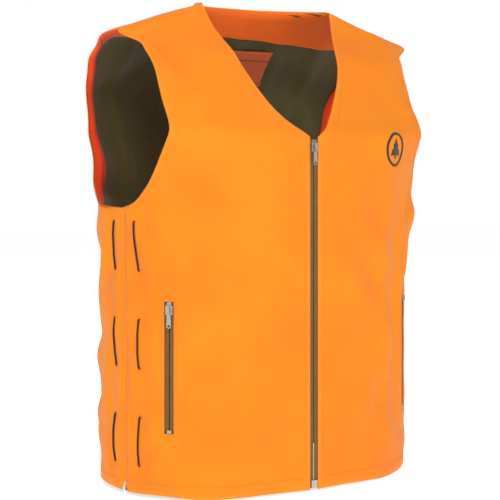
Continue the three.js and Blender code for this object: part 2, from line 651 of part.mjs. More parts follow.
function addPocketZip(name, place, side) {
  const zip = new THREE.Group();
  zip.position.copy(place.centre);
  zip.rotation.z = place.turn;
  vest.add(zip);
  const bottom = POCKET_BOTTOM + 0.5;
  const top = POCKET_BOTTOM + POCKET_LENGTH - 0.5;
  const highStop = top - STOP_LENGTH;
  for (const [half, direction] of [['front', -side], ['rear', side]]) {
    addMesh(zip, `${name}_pocket_${half}_tape`, tapeGeometry(direction, bottom, top), taupe);
    addMesh(zip, `${name}_pocket_${half}_coil`,
      coilGeometry(direction, bottom + STOP_LENGTH, highStop), taupe);
  }
  addMesh(zip, `${name}_pocket_bottom_stop`, stopGeometry(-coilOuter, coilOuter, bottom), nickel);
  addMesh(zip, `${name}_pocket_top_stop`, stopGeometry(-coilOuter, coilOuter, highStop), nickel);
  const sliderCentre = highStop - 0.5 - SLIDER_LENGTH / 2;
  addMesh(zip, `${name}_pocket_slider`, sliderGeometry(sliderCentre), nickel);
  addMesh(zip, `${name}_pocket_puller`, pullerGeometry(sliderCentre), nickel);
}

// A flat bag behind the shell, open only at the pocket's mouth.
function addPocketBag(name, panel, slot) {
  const columns = span(FRONT.bag, FRONT.stripRear);
  const rows = span(ROW.bagLow, ROW.bagHigh);
  const edge = { left: 1, right: 1, bottom: 1, top: 1 };
  const seam = { left: 3, right: 3, bottom: 3, top: 3 };
  const pouch = sheet(panel, columns, rows, () => BAG_DEPTH, () => BAG_FLOOR, edge);
  const hollow = sheet(panel, columns, rows, () => BAG_DEPTH + BAG_WALL, () => BAG_FLOOR - BAG_WALL, seam);
  addMesh(vest, `${name}_pocket_bag`, cut(pouch, hollow, slot), olive);
}

// ---- Side laces -------------------------------------------------------------------------------------------

const lacePitch = (ARMPIT_Z - LACE_TOP_MARGIN - LACE_BOTTOM) / (LACE_HOLES - 1);
const laceHeight = (hole) => LACE_BOTTOM + lacePitch * hole;
const laceFrontY = -SIDE_SEAM_SHIFT - LACE_SPACING / 2;
const laceRearY = -SIDE_SEAM_SHIFT + LACE_SPACING / 2;

// A place beside the side seam, some depth inwards.
function sidePoint(side, y, z, depth) {
  const point = surfacePoint(angleOfY(y, z), z);
  point.addScaledVector(surfaceNormal(point), -depth);
  return point.multiply(new THREE.Vector3(side, 1, 1));
}

function holeGeometry(side, y, hole) {
  const z = laceHeight(hole);
  const from = sidePoint(side, y, z, -4);
  const to = sidePoint(side, y, z, 4);
  const tool = new THREE.CylinderGeometry(CORD / 2 + CORD_CLEARANCE, CORD / 2 + CORD_CLEARANCE, 8, 16);
  const direction = to.clone().sub(from).normalize();
  tool.applyQuaternion(new THREE.Quaternion().setFromUnitVectors(new THREE.Vector3(0, 1, 0), direction));
  const middlePoint = from.lerp(to, 0.5);
  return tool.translate(middlePoint.x, middlePoint.y, middlePoint.z);
}

const laceHoles = (side, y) => span(0, LACE_HOLES - 1).map((hole) => holeGeometry(side, y, hole));

// A route that turns exactly at its own points.
class Route extends THREE.Curve {
  constructor(points) {
    super();
    this.points = points;
  }

  getPointAt(u) {
    return this.points[Math.round(u * (this.points.length - 1))].clone();
  }

  getTangentAt(u) {
    const k = Math.round(u * (this.points.length - 1));
    const before = this.points[Math.max(k - 1, 0)];
    const here = this.points[k];
    const after = this.points[Math.min(k + 1, this.points.length - 1)];
    const arriving = here.clone().sub(before).normalize();
    const leaving = after.clone().sub(here).normalize();
    return arriving.add(leaving).normalize();
  }
}

// Stretches between holes: outside down or up a column, and inside across to the other one.
function outsideRun(side, y, from, to) {
  const [z0, z1] = [laceHeight(from), laceHeight(to)];
  const way = Math.sign(z1 - z0);
  const over = -CORD / 2 - 0.5;
  return [
    [z0, 2.2], [z0, -0.8], [z0 + way * 1.3, over], [lerp(z0, z1, 0.33), over],
    [lerp(z0, z1, 0.67), over], [z1 - way * 1.3, over], [z1, -0.8], [z1, 2.2],
  ].map(([z, depth]) => sidePoint(side, y, z, depth));
}

function insideRun(side, yFrom, yTo, from, to, crossing) {
  const [z0, z1] = [laceHeight(from), laceHeight(to)];
  const shares = [0.05, 0.2, 0.38, 0.5, 0.62, 0.8, 0.95];
  return shares.map((share) => {
    const near = Math.abs(share - 0.5) < 0.2 ? crossing : LACE_NEAR;
    return sidePoint(side, lerp(yFrom, yTo, share), lerp(z0, z1, share), near);
  });
}

// The end of the cord, caught in the side seam between the top holes.
function seamEnd(side, y) {
  const z = laceHeight(LACE_HOLES - 1);
  const stop = -SIDE_SEAM_SHIFT + Math.sign(y + SIDE_SEAM_SHIFT) * 1;
  return [sidePoint(side, stop, z, LACE_NEAR), sidePoint(side, lerp(stop, y, 0.85), z, LACE_NEAR)];
}

function addLace(name, side) {
  const [front, rear] = [laceFrontY, laceRearY];
  const route = [
    ...seamEnd(side, front),
    ...outsideRun(side, front, 5, 4),
    ...insideRun(side, front, rear, 4, 3, LACE_NEAR),
    ...outsideRun(side, rear, 3, 2),
    ...insideRun(side, rear, front, 2, 1, LACE_NEAR),
    ...outsideRun(side, front, 1, 0),
    ...insideRun(side, front, rear, 0, 0, LACE_NEAR),
    ...outsideRun(side, rear, 0, 1),
    ...insideRun(side, rear, front, 1, 2, LACE_FAR),
    ...outsideRun(side, front, 2, 3),
    ...insideRun(side, front, rear, 3, 4, LACE_FAR),
    ...outsideRun(side, rear, 4, 5),
    ...seamEnd(side, rear).reverse(),
  ];
  const section = new THREE.Shape().absarc(0, 0, CORD / 2, 0, 2 * Math.PI);
  const extrudePath = new Route(route);
  const options = { steps: route.length - 1, extrudePath, bevelEnabled: false, curveSegments: 4 };
  addMesh(vest, `${name}_side_lace`, new THREE.ExtrudeGeometry(section, options), black);
}

// ---- Shell, lining and facings ------------------------------------------------------------------------------

const shellOuter = () => 0;
const shellInner = () => SHELL;
const hemToShoulder = span(ROW.hem, ROW.shoulder);
const panelEdge = { left: SEAM_GAP / 2, right: SEAM_GAP / 2, top: SEAM_GAP / 2 };

// A piece that fills the place that another leaves out stays a seam's gap away from it.
const sewnIn = (...sides) => ({ ...panelEdge, ...Object.fromEntries(sides.map((side) => [side, SEAM_GAP])) });

function addFront(name, panel, side) {
  const all = span(FRONT.zip, FRONT.seam);
  const edgeColumns = span(FRONT.zip, FRONT.facing);
  const lower = span(ROW.hem, ROW.armpit);
  const upper = span(ROW.armpit, ROW.shoulder);
  const inEdge = (c, r) => c < FRONT.facing && r < ROW.armpit;
  const place = pocketPlace(panel, side);
  const slot = slotGeometry(place, BAG_DEPTH + BAG_WALL + 1);

  const edgeInset = { left: 0, right: FOLD_GAP, top: FOLD_GAP };
  addMesh(vest, `${name}_front_edge`,
    sheet(panel, edgeColumns, lower, shellOuter, shellInner, edgeInset), shellOrange);
  const shell = sheet(panel, all, hemToShoulder, shellOuter, shellInner,
    { ...panelEdge, left: 0 }, (c, r) => !inEdge(c, r));
  addMesh(vest, `${name}_front_panel`, cut(shell, slot, ...laceHoles(side, laceFrontY)), shellOrange);

  const inner = thicker(frontLiningDepth);
  addMesh(vest, `${name}_front_facing`,
    sheet(panel, edgeColumns, lower, frontLiningDepth, inner, { ...edgeInset, bottom: HEM_LIFT }), facingOrange);
  addMesh(vest, `${name}_neck_facing`,
    sheet(panel, edgeColumns, upper, frontLiningDepth, inner, { ...sewnIn('right'), left: 0 }), facingOrange);
  addMesh(vest, `${name}_armhole_front_facing`,
    sheet(panel, span(FRONT.lace, FRONT.seam), span(ROW.facing, ROW.shoulder), frontLiningDepth, inner,
      sewnIn('left', 'bottom')), armholeOrange);
  const inArmhole = (c, r) => c >= FRONT.lace && r >= ROW.facing;
  addMesh(vest, `${name}_front_lining`,
    sheet(panel, span(FRONT.facing, FRONT.seam), hemToShoulder, frontLiningDepth, inner,
      { ...panelEdge, left: 0, bottom: HEM_LIFT }, (c, r) => !inArmhole(c, r)), olive);

  addPocketZip(name, place, side);
  addPocketBag(name, panel, slot);
}

function addBack() {
  const all = span(0, back.columns);
  const shell = sheet(back, all, hemToShoulder, shellOuter, shellInner, panelEdge);
  addMesh(vest, 'back_panel',
    cut(shell, ...laceHoles(-1, laceRearY), ...laceHoles(1, laceRearY)), shellOrange);

  const inner = thicker(backLiningDepth);
  const armholeRows = span(ROW.facing, ROW.shoulder);
  const neckLow = ROW.shoulder - 2;
  const lastColumn = back.columns - 1;
  addMesh(vest, 'back_neck_facing',
    sheet(back, span(HALF_BACK - BACK.neck, HALF_BACK + BACK.neck), span(neckLow, ROW.shoulder),
      backLiningDepth, inner, sewnIn('left', 'right', 'bottom')), facingOrange);
  addMesh(vest, 'right_armhole_back_facing',
    sheet(back, [0, 1], armholeRows, backLiningDepth, inner,
      { ...sewnIn('right', 'bottom'), right: BAND_GAP }), armholeOrange);
  addMesh(vest, 'left_armhole_back_facing',
    sheet(back, [lastColumn, lastColumn + 1], armholeRows, backLiningDepth, inner,
      { ...sewnIn('left', 'bottom'), left: BAND_GAP }),
    armholeOrange);
  const inArmhole = (c, r) => (c < 1 || c >= lastColumn) && r >= ROW.facing;
  const inNeck = (c, r) => c >= HALF_BACK - BACK.neck && c < HALF_BACK + BACK.neck && r >= neckLow;
  addMesh(vest, 'back_lining',
    sheet(back, all, hemToShoulder, backLiningDepth, inner, { ...panelEdge, bottom: HEM_LIFT },
      (c, r) => !inArmhole(c, r) && !inNeck(c, r)), olive);
}

// ---- Emblem on the wearer's left chest, and the label inside the back neck ---------------------------------------

// The column and row of a panel that lie at a given x and z.
function locate(panel, x, z, firstColumn, firstRow) {
  let [c, r] = [firstColumn, firstRow];
  for (let turn = 0; turn < 20; turn += 1) {
    const here = panel.at(c, r);
    const [dc, dr] = [panel.at(c + 0.01, r).sub(here), panel.at(c, r + 0.01).sub(here)];
    const [ex, ez] = [x - here.x, z - here.z];
    const area = dc.x * dr.z - dr.x * dc.z;
    c += 0.01 * (ex * dr.z - dr.x * ez) / area;
    r += 0.01 * (dc.x * ez - ex * dc.z) / area;
  }
  return [c, r];
}

// Lays a flat piece, drawn in X and Z with its thickness along Y, on a panel at a depth.
function lay(geometry, panel, centreX, centreZ, depth, start) {
  const { position } = geometry.attributes;
  for (let k = 0; k < position.count; k += 1) {
    const [c, r] = locate(panel, centreX + position.getX(k), centreZ + position.getZ(k), ...start);
    position.setXYZ(k, ...panel.at(c, r, depth + position.getY(k)));
  }
  return facingOut(mergeVertices(geometry, 1e-4));
}

// An oval ring with a pine tree standing in it.
function emblemGeometry() {
  const [a, b] = [EMBLEM_WIDTH / 2, EMBLEM_HEIGHT / 2];
  const oval = (share, grow) => [(a - grow) * Math.sin(share), -(b - grow) * Math.cos(share)];
  const outline = span(0, 23).map((k) => oval(k * Math.PI / 12, 0));
  const foot = 0.16; // half angle of the trunk where it stands on the ring
  const inner = span(0, 20).map((k) => oval(lerp(foot, 2 * Math.PI - foot, k / 20), EMBLEM_RING));
  const trunk = Math.abs(inner[0][0]);
  const tiers = [[trunk, -0.45 * b], [0.5 * a, -0.45 * b], [0.22 * a, -0.1 * b], [0.4 * a, -0.1 * b],
    [0.16 * a, 0.22 * b], [0.28 * a, 0.22 * b]];
  const tree = [...tiers.map(([x, z]) => [-x, z]), [0, 0.62 * b], ...tiers.reverse()];
  const toVectors = (points) => points.map(([x, z]) => new THREE.Vector2(x, z));
  const shape = new THREE.Shape(toVectors(outline));
  shape.holes.push(new THREE.Path(toVectors([...inner, ...tree])));
  const badge = new THREE.ExtrudeGeometry(shape, { depth: EMBLEM_THICKNESS, bevelEnabled: false });
  badge.deleteAttribute('normal');
  badge.deleteAttribute('uv');
  return badge.rotateX(Math.PI / 2);
}

function addTrim() {
  addMesh(vest, 'chest_emblem',
    lay(emblemGeometry(), leftFront, EMBLEM_X, VEE_Z - EMBLEM_BELOW_VEE, -EMBLEM_GAP, [6, 9]), black);
  const label = new THREE.BoxGeometry(LABEL_WIDTH, LABEL_THICKNESS, LABEL_HEIGHT, 8, 1, 5);
  label.deleteAttribute('normal');
  label.deleteAttribute('uv');
  const labelDepth = LINING_DEPTH + LINING + LABEL_GAP + LABEL_THICKNESS / 2;
  addMesh(vest, 'neck_label',
    lay(label, back, LABEL_X, BACK_NECK_Z - LABEL_BELOW_NECK, labelDepth, [HALF_BACK + 1, 12]), facingOrange);
}

addBack();
addFront('right', rightFront, -1);
addFront('left', leftFront, 1);
addFrontZip();
addLace('right', -1);
addLace('left', 1);
addTrim();

// The front slider's bridge is the foremost piece: the origin is under the middle of the whole depth.
vest.position.y = (SLIDER_PROUD + BRIDGE_HEIGHT) / 2;

export default vest;
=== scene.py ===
import math

import bmesh
import bpy
import numpy as np
from mathutils import Matrix, Vector, noise


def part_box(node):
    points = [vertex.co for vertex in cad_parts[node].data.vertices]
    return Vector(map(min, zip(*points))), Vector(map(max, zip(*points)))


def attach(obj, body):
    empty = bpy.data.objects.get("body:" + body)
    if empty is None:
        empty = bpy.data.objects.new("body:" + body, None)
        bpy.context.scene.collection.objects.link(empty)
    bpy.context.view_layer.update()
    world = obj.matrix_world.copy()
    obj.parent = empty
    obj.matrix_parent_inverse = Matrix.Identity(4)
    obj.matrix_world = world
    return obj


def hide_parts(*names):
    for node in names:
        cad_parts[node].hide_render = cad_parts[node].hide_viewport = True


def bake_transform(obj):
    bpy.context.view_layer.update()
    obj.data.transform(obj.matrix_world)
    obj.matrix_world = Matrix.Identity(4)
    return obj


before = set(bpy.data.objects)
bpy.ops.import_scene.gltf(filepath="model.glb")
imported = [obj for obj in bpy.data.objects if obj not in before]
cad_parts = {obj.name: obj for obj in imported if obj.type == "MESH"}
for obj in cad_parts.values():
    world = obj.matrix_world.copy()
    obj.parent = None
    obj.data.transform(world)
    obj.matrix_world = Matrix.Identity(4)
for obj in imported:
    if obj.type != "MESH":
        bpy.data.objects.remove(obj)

bpy.context.view_layer.update()

# ---- Camera, floor and light -----------------------------------------------------
# The vest keeps the shape of a worn one, with its hem on a pale floor. The camera stands
# level, turned to the wearer's right, and the light comes from large soft panels.
EYE_HEIGHT = 0.439
VIEW_DISTANCE = 2.08
VIEW_TURN = math.radians(32)
SKY_LIGHT = 0.32
LIGHT_AIM = (0, 0, 0.38)
MILLIMETRE = 0.001
ZIP_LINE = Vector((0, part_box("retainer_box")[0].y, 0))
AXIS_Y = ZIP_LINE.y + 0.156  # the body's axis behind the front zip


def standing_at(name, data, place, aim):
    """A lamp at a place, turned towards a point."""
    thing = bpy.data.objects.new(name, data)
    thing.location = place
    thing.rotation_euler = (Vector(aim) - Vector(place)).to_track_quat("-Z", "Y").to_euler()
    bpy.context.scene.collection.objects.link(thing)
    return thing


camera_data = bpy.data.cameras.new("camera")
camera_data.lens = 99.3
camera_data.shift_x = -0.012
camera_data.shift_y = -0.14
camera = bpy.data.objects.new("camera", camera_data)
camera.location = (-VIEW_DISTANCE * math.sin(VIEW_TURN),
                   AXIS_Y - VIEW_DISTANCE * math.cos(VIEW_TURN), EYE_HEIGHT)
camera.rotation_euler = (math.pi / 2, 0, -VIEW_TURN)
bpy.context.scene.collection.objects.link(camera)
bpy.context.scene.camera = camera
bpy.context.scene.view_settings.view_transform = "Standard"

for lamp, place, size, watts in (
    ("key_panel", (-1.5, -2.3, 2.1), 1.0, 50),
    ("fill_panel", (2.1, -2.0, 0.9), 1.6, 4),
    ("back_panel_light", (0.6, 2.4, 2.0), 1.8, 22),
    ("top_panel", (-0.3, -0.5, 2.6), 1.2, 9),
):
    panel_light = bpy.data.lights.new(lamp, "AREA")
    panel_light.size = size
    panel_light.energy = watts
    standing_at(lamp, panel_light, place, LIGHT_AIM)

world = bpy.data.worlds.new("studio")
world.use_nodes = True
sky = world.node_tree.nodes["Background"]
sky.inputs["Color"].default_value = (1, 1, 1, 1)
rays = world.node_tree.nodes.new("ShaderNodeLightPath")
brightness = world.node_tree.nodes.new("ShaderNodeMath")
brightness.operation = "MAXIMUM"  # the sky is white to the eye and dimmer as a light
brightness.inputs[1].default_value = SKY_LIGHT
world.node_tree.links.new(rays.outputs["Is Camera Ray"], brightness.inputs[0])
world.node_tree.links.new(brightness.outputs[0], sky.inputs["Strength"])
bpy.context.scene.world = world


def linear(red, green, blue, alpha=1.0):
    """A screen colour, 0 to 255, as the shader's linear colour."""
    return tuple((c / 255) ** 2.2 for c in (red, green, blue)) + (alpha,)


class Shade:
    """A socket in a material. Operators add Math nodes, and make() adds any other node."""

    def __init__(self, tree, socket=None):
        self.tree = tree
        self.socket = socket

    def make(self, kind, settings=None, sockets=None, out=0):
        node = self.tree.nodes.new(kind)
        for key, value in (settings or {}).items():
            if key == "stops":
                ramp = node.color_ramp
                while len(ramp.elements) < len(value):
                    ramp.elements.new(0.5)
                for element, (position, colour) in zip(ramp.elements, value):
                    element.position = position
                    element.color = colour
            else:
                setattr(node, key, value)
        for key, value in (sockets or {}).items():
            if isinstance(value, Shade):
                self.tree.links.new(value.socket, node.inputs[key])
            else:
                node.inputs[key].default_value = value
        return Shade(self.tree, node.outputs[out])

    def out(self, key):
        return Shade(self.tree, self.socket.node.outputs[key])

    def maths(self, operation, first, second=0.0):
        return self.make("ShaderNodeMath", {"operation": operation}, {0: first, 1: second})

    def __add__(self, other):
        return self.maths("ADD", self, other)

    __radd__ = __add__

    def __mul__(self, other):
        return self.maths("MULTIPLY", self, other)

    __rmul__ = __mul__

    def __sub__(self, other):
        return self.maths("SUBTRACT", self, other)

    def __rsub__(self, other):
        return self.maths("SUBTRACT", other, self)

    def place(self):
        """Where on the object, in metres."""
        return self.make("ShaderNodeTexCoord").out("Object")

    def cut(self):
        """Where on the piece as it was cut flat, in metres across, and up at its Y."""
        return self.make("ShaderNodeSeparateXYZ", {}, {0: self.make("ShaderNodeUVMap", {"uv_map": "cut"})})

    def wave(self):
        return self.maths("SINE", self)

    def above(self, limit):
        return self.maths("GREATER_THAN", self, limit)

    def tint(self, low, high):
        """A colour from low to high as this number goes from 0 to 1."""
        return self.make("ShaderNodeMix", {"data_type": "RGBA"}, {0: self, 6: low, 7: high}, 2)

    def grain(self, coordinate, scale, detail=2.0, roughness=0.5):
        return self.make("ShaderNodeTexNoise", {}, {
            "Vector": coordinate, "Scale": scale, "Detail": detail, "Roughness": roughness})

    def bumped(self, height, distance, strength=1.0, under=None):
        sockets = {"Height": height, "Distance": distance, "Strength": strength}
        if under is not None:
            sockets["Normal"] = under
        return self.make("ShaderNodeBump", {}, sockets)


def new_finish(name, **constants):
    """A material and its shader, with the values that are the same all over the surface."""
    material = bpy.data.materials.new(name)
    material.use_nodes = True
    shader = material.node_tree.nodes["Principled BSDF"]
    for key, value in constants.items():
        shader.inputs[key.replace("_", " ")].default_value = value
    return material, shader, Shade(material.node_tree)


def vary(shader, **shades):
    """Joins shades to the shader's sockets, for the values that change over the surface."""
    for key, shade in shades.items():
        shade.tree.links.new(shade.socket, shader.inputs[key.replace("_", " ")])


floor_finish, floor_shader, floor_nodes = new_finish(
    "pale_floor", Roughness=0.9, Emission_Color=(1, 1, 1, 1), Emission_Strength=0.7)
floor_place = floor_nodes.place()
floor_cloud = floor_nodes.grain(floor_place, 1.5)
vary(floor_shader, Base_Color=floor_cloud.tint(linear(236, 236, 234), linear(244, 244, 243)))


def new_piece(name, bm, finish):
    """A finished mesh as an object at the origin."""
    mesh = bpy.data.meshes.new(name)
    bm.to_mesh(mesh)
    bm.free()
    mesh.polygons.foreach_set("use_smooth", [True] * len(mesh.polygons))
    mesh.materials.append(finish)
    piece = bpy.data.objects.new(name, mesh)
    bpy.context.scene.collection.objects.link(piece)
    return piece


FLOOR_REACH, FLOOR_GAP = 9, 0.0006
floor_bm = bmesh.new()
bmesh.ops.create_grid(floor_bm, x_segments=1, y_segments=1, size=FLOOR_REACH)
bmesh.ops.translate(floor_bm, verts=floor_bm.verts, vec=(0, 0, -FLOOR_GAP))
new_piece("floor", floor_bm, floor_finish)

# ---- Front shells ----------------------------------------------------------------
# The two fronts are cut from blaze orange brushed polyester, turned in at the zip, the V,
# the armhole and the hem, and sewn to the back at the side and the shoulder. A slit in
# each takes the pocket zip, and a column of small holes takes the elastic lace.
HALF_DEPTH = 156
ARMPIT_Z, TIP_Z, NECK_Z, BACK_NECK_Z, VEE_Z = 400, 654, 696, 705, 500
ZIP_EDGE = 6.5  # shell's edge from the middle of the zip
SEAM_Y = -32  # side seam
LACE_FRONT_Y, LACE_REAR_Y = -58.5, -5.5
ARMPIT_SHARE = 0.62  # of a panel's rows, the part below the armpit
BLAZE = linear(246, 139, 20)
BLAZE_DEEP = linear(243, 122, 22)
BLAZE_PALE = linear(250, 156, 44)


def profile(stations):
    """A smooth curve without overshoot through (position, value) stations."""
    where, values = (np.array(column, float) for column in zip(*stations))
    slope = np.diff(values) / np.diff(where)
    limit = 3 * np.minimum(abs(slope[:-1]), abs(slope[1:]))
    inner = np.clip((slope[:-1] + slope[1:]) / 2, -limit, limit)
    tangent = np.concatenate([slope[:1], np.where(slope[:-1] * slope[1:] <= 0, 0, inner), slope[-1:]])

    def value(position):
        x = np.clip(position, where[0], where[-1])
        k = np.clip(np.searchsorted(where, x) - 1, 0, len(where) - 2)
        h = where[k + 1] - where[k]
        t = (x - where[k]) / h
        ends = tangent[k] * t * (1 - t) ** 2 - tangent[k + 1] * t * t * (1 - t)
        return values[k] + (values[k + 1] - values[k]) * (3 - 2 * t) * t * t + h * ends

    return value


body_half_width = profile([(0, 240), (300, 240), (400, 245.06), (500.6, 254.1), (574.6, 260), (654, 262)])
front_depth = profile([(0, 156), (500, 156), (531.9, 124), (552.9, 106), (590, 82), (619, 60),
                       (654, 26), (696, 8), (705, 7)])
back_depth = profile([(0, 156), (200, 150), (400, 152), (500.6, 156), (573.2, 170), (613.1, 158),
                      (654, 132), (696, 106), (705, 103)])
middle_y = profile([(0, 0), (500, 0), (535.3, -12.1), (590, -21.1), (654, -31), (705, -31)])
squareness = profile([(0, 2.4), (300, 2.4), (400, 2.6), (471, 3.0), (536.2, 4.0), (589.4, 3.6),
                      (619, 3.0), (654, 2.4), (696, 2.0)])
vee_edge = profile([(500, 6.5), (517.1, 28), (552.9, 57), (600, 83), (629, 92), (662.1, 104), (696, 111.6)])
front_armhole = profile([(400, 81.4), (404, 75), (412.7, 69.7), (434, 62.5), (470, 54.9), (532, 44.4),
                         (590, 46.3), (619, 52.7), (633, 57.4), (654, 90)])
back_armhole = profile([(400, 81.4), (403, 95), (410, 106), (423, 113), (460, 121), (499, 127.6),
                        (532, 130.6), (572, 126.6), (612, 118), (637, 113.6), (654, 90)])


def half_width(z):
    body = body_half_width(z)
    shoulder = 112 + (NECK_Z - np.minimum(z, NECK_Z)) * 129 / 42
    return (body + shoulder - np.hypot(body - shoulder, 14)) / 2


def body_point(angle, z):
    """The vest's outer surface in millimetres; angle is 0 at the front and 180 at the back."""
    turn = np.radians(angle)
    across, along = np.sin(turn), np.cos(turn)
    power = 2 / squareness(z)
    depth = np.where(along > 0, front_depth(z), back_depth(z))
    x = half_width(z) * np.abs(across) ** power
    y = middle_y(z) - depth * np.sign(along) * np.abs(along) ** power
    return np.stack([x, y, z + 0 * x], -1)


def body_normal(points):
    def outside(x, y, z):
        away = y - middle_y(z)
        depth = np.where(away < 0, front_depth(z), back_depth(z))
        power = squareness(z)
        return np.abs(x / half_width(z)) ** power + np.abs(away / depth) ** power

    x, y, z = points[:, 0], points[:, 1], points[:, 2]
    step = 0.5
    gradient = np.stack([
        outside(x + step, y, z) - outside(x - step, y, z),
        outside(x, y + step, z) - outside(x, y - step, z),
        outside(x, y, z + step) - outside(x, y, z - step)], -1)
    return gradient / np.linalg.norm(gradient, axis=1, keepdims=True)


def angle_at_x(x, z):
    return np.degrees(np.arcsin(np.clip(x / half_width(z), 0, 1) ** (squareness(z) / 2)))


def angle_at_y(y, z):
    return np.degrees(np.arccos(np.clip((middle_y(z) - y) / front_depth(z), 0, 1) ** (squareness(z) / 2)))


def between(low, high, share):
    return low + (high - low) * share


def soft(value, low, high):
    """0 below low, 1 above high, and smooth between."""
    t = np.clip((value - low) / (high - low), 0, 1)
    return t * t * (3 - 2 * t)


def mid_knots(share, knots, values):
    """Each point's value between the columns that are set out at the knots."""
    k = np.clip(np.searchsorted(knots, share, side="right") - 1, 0, len(knots) - 2)
    pick = np.arange(len(share))
    t = (share - knots[k]) / (knots[k + 1] - knots[k])
    return between(values[k, pick], values[k + 1, pick], t)


def patch(bottom, top, inner_low, inner, inner_high, outer_low, outer, outer_high, share, up):
    """A value over the upper body, blended from the patch's four edges."""
    inner_excess = inner - between(inner_low, inner_high, up)
    outer_excess = outer - between(outer_low, outer_high, up)
    return between(bottom, top, up) + between(inner_excess, outer_excess, share)


def eased(t):
    return t * t * (3 - 2 * t)


def rise(t):
    """Share of an edge's height at a share of its rows, closer together at both ends."""
    return (t + eased(t)) / 2


def armhole_ease(share, t):
    return 18 * share ** 2 * np.sqrt(np.clip(1 - share, 0, 1)) * np.sin(np.pi * t) ** 2


NECK_SHARE = 0.543  # of half the back's width, the neck
FACING_ROW, FACING_Z = 7 / 9, 665  # lower edge of the back neck facing
FRONT_KNOTS = np.array([0, 0.27, 0.38, 0.69, 0.78, 0.91, 1.0])
BACK_KNOTS = np.array([0, 0.17, 0.311, 0.434, NECK_SHARE, 0.634, 0.72, 0.808, 0.924, 1.0])


def front_columns(share, z):
    xs = [angle_at_x(x, z) for x in (ZIP_EDGE, 85, 115, 192, 212)]
    ys = [angle_at_y(y, z) for y in (LACE_FRONT_Y, SEAM_Y)]
    return mid_knots(share, FRONT_KNOTS, np.array(xs + ys))


def back_columns(share, z):
    turned = [degrees + 0 * z for degrees in (180, 169, 157, 145, 133, 122, 111, 100)]
    ys = [angle_at_y(y, z) for y in (LACE_REAR_Y, SEAM_Y)]
    return mid_knots(share, BACK_KNOTS, np.array(turned + ys))


def front_place(share, up):
    """Angle and height at shares of a front's width, from the zip, and of its rows."""
    low_z = ARMPIT_Z * np.clip(up / ARMPIT_SHARE, 0, 1)
    corner = ARMPIT_Z + 0 * share
    t = np.clip((up - ARMPIT_SHARE) / (1 - ARMPIT_SHARE), 0, 1)
    inner_z, outer_z = between(ARMPIT_Z, NECK_Z, rise(t)), between(ARMPIT_Z, TIP_Z, rise(t))
    edge_z = np.maximum(inner_z, VEE_Z)
    angle = patch(front_columns(share, corner), 90.0,
                  angle_at_x(vee_edge(VEE_Z), ARMPIT_Z), angle_at_x(vee_edge(edge_z), inner_z), 90.0,
                  front_armhole(ARMPIT_Z), front_armhole(outer_z), 90.0, share, t) - armhole_ease(share, t)
    z = patch(corner, between(NECK_Z, TIP_Z, share), ARMPIT_Z, inner_z, NECK_Z,
              ARMPIT_Z, outer_z, TIP_Z, share, t)
    above = up > ARMPIT_SHARE
    return np.where(above, np.clip(angle, 0, 90), front_columns(share, low_z)), np.where(above, z, low_z)


def back_place(share, up):
    """The same for half of the back, from its centre."""
    low_z = ARMPIT_Z * np.clip(up / ARMPIT_SHARE, 0, 1)
    corner = ARMPIT_Z + 0 * share
    t = np.clip((up - ARMPIT_SHARE) / (1 - ARMPIT_SHARE), 0, 1)
    over_neck = np.minimum(share / NECK_SHARE, 1)
    down_shoulder = np.maximum((share - NECK_SHARE) / (1 - NECK_SHARE), 0)
    top_z = between(between(BACK_NECK_Z, NECK_Z, over_neck ** 2), TIP_Z, down_shoulder)
    inner_z = np.where(t < FACING_ROW, between(ARMPIT_Z, FACING_Z, t / FACING_ROW),
                       between(FACING_Z, BACK_NECK_Z, (t - FACING_ROW) / (1 - FACING_ROW)))
    outer_z = between(ARMPIT_Z, TIP_Z, rise(t))
    angle = patch(back_columns(share, corner), 180 - 90 * over_neck, 180.0, 180.0, 180.0,
                  back_armhole(ARMPIT_Z), back_armhole(outer_z), 90.0, share, t) + armhole_ease(share, t)
    angle = np.maximum(angle, np.minimum(back_columns(share, corner), 90))
    z = patch(corner, top_z, ARMPIT_Z, inner_z, BACK_NECK_Z, ARMPIT_Z, outer_z, TIP_Z, share, t)
    above = up > ARMPIT_SHARE
    return np.where(above, angle, back_columns(share, low_z)), np.where(above, z, low_z)


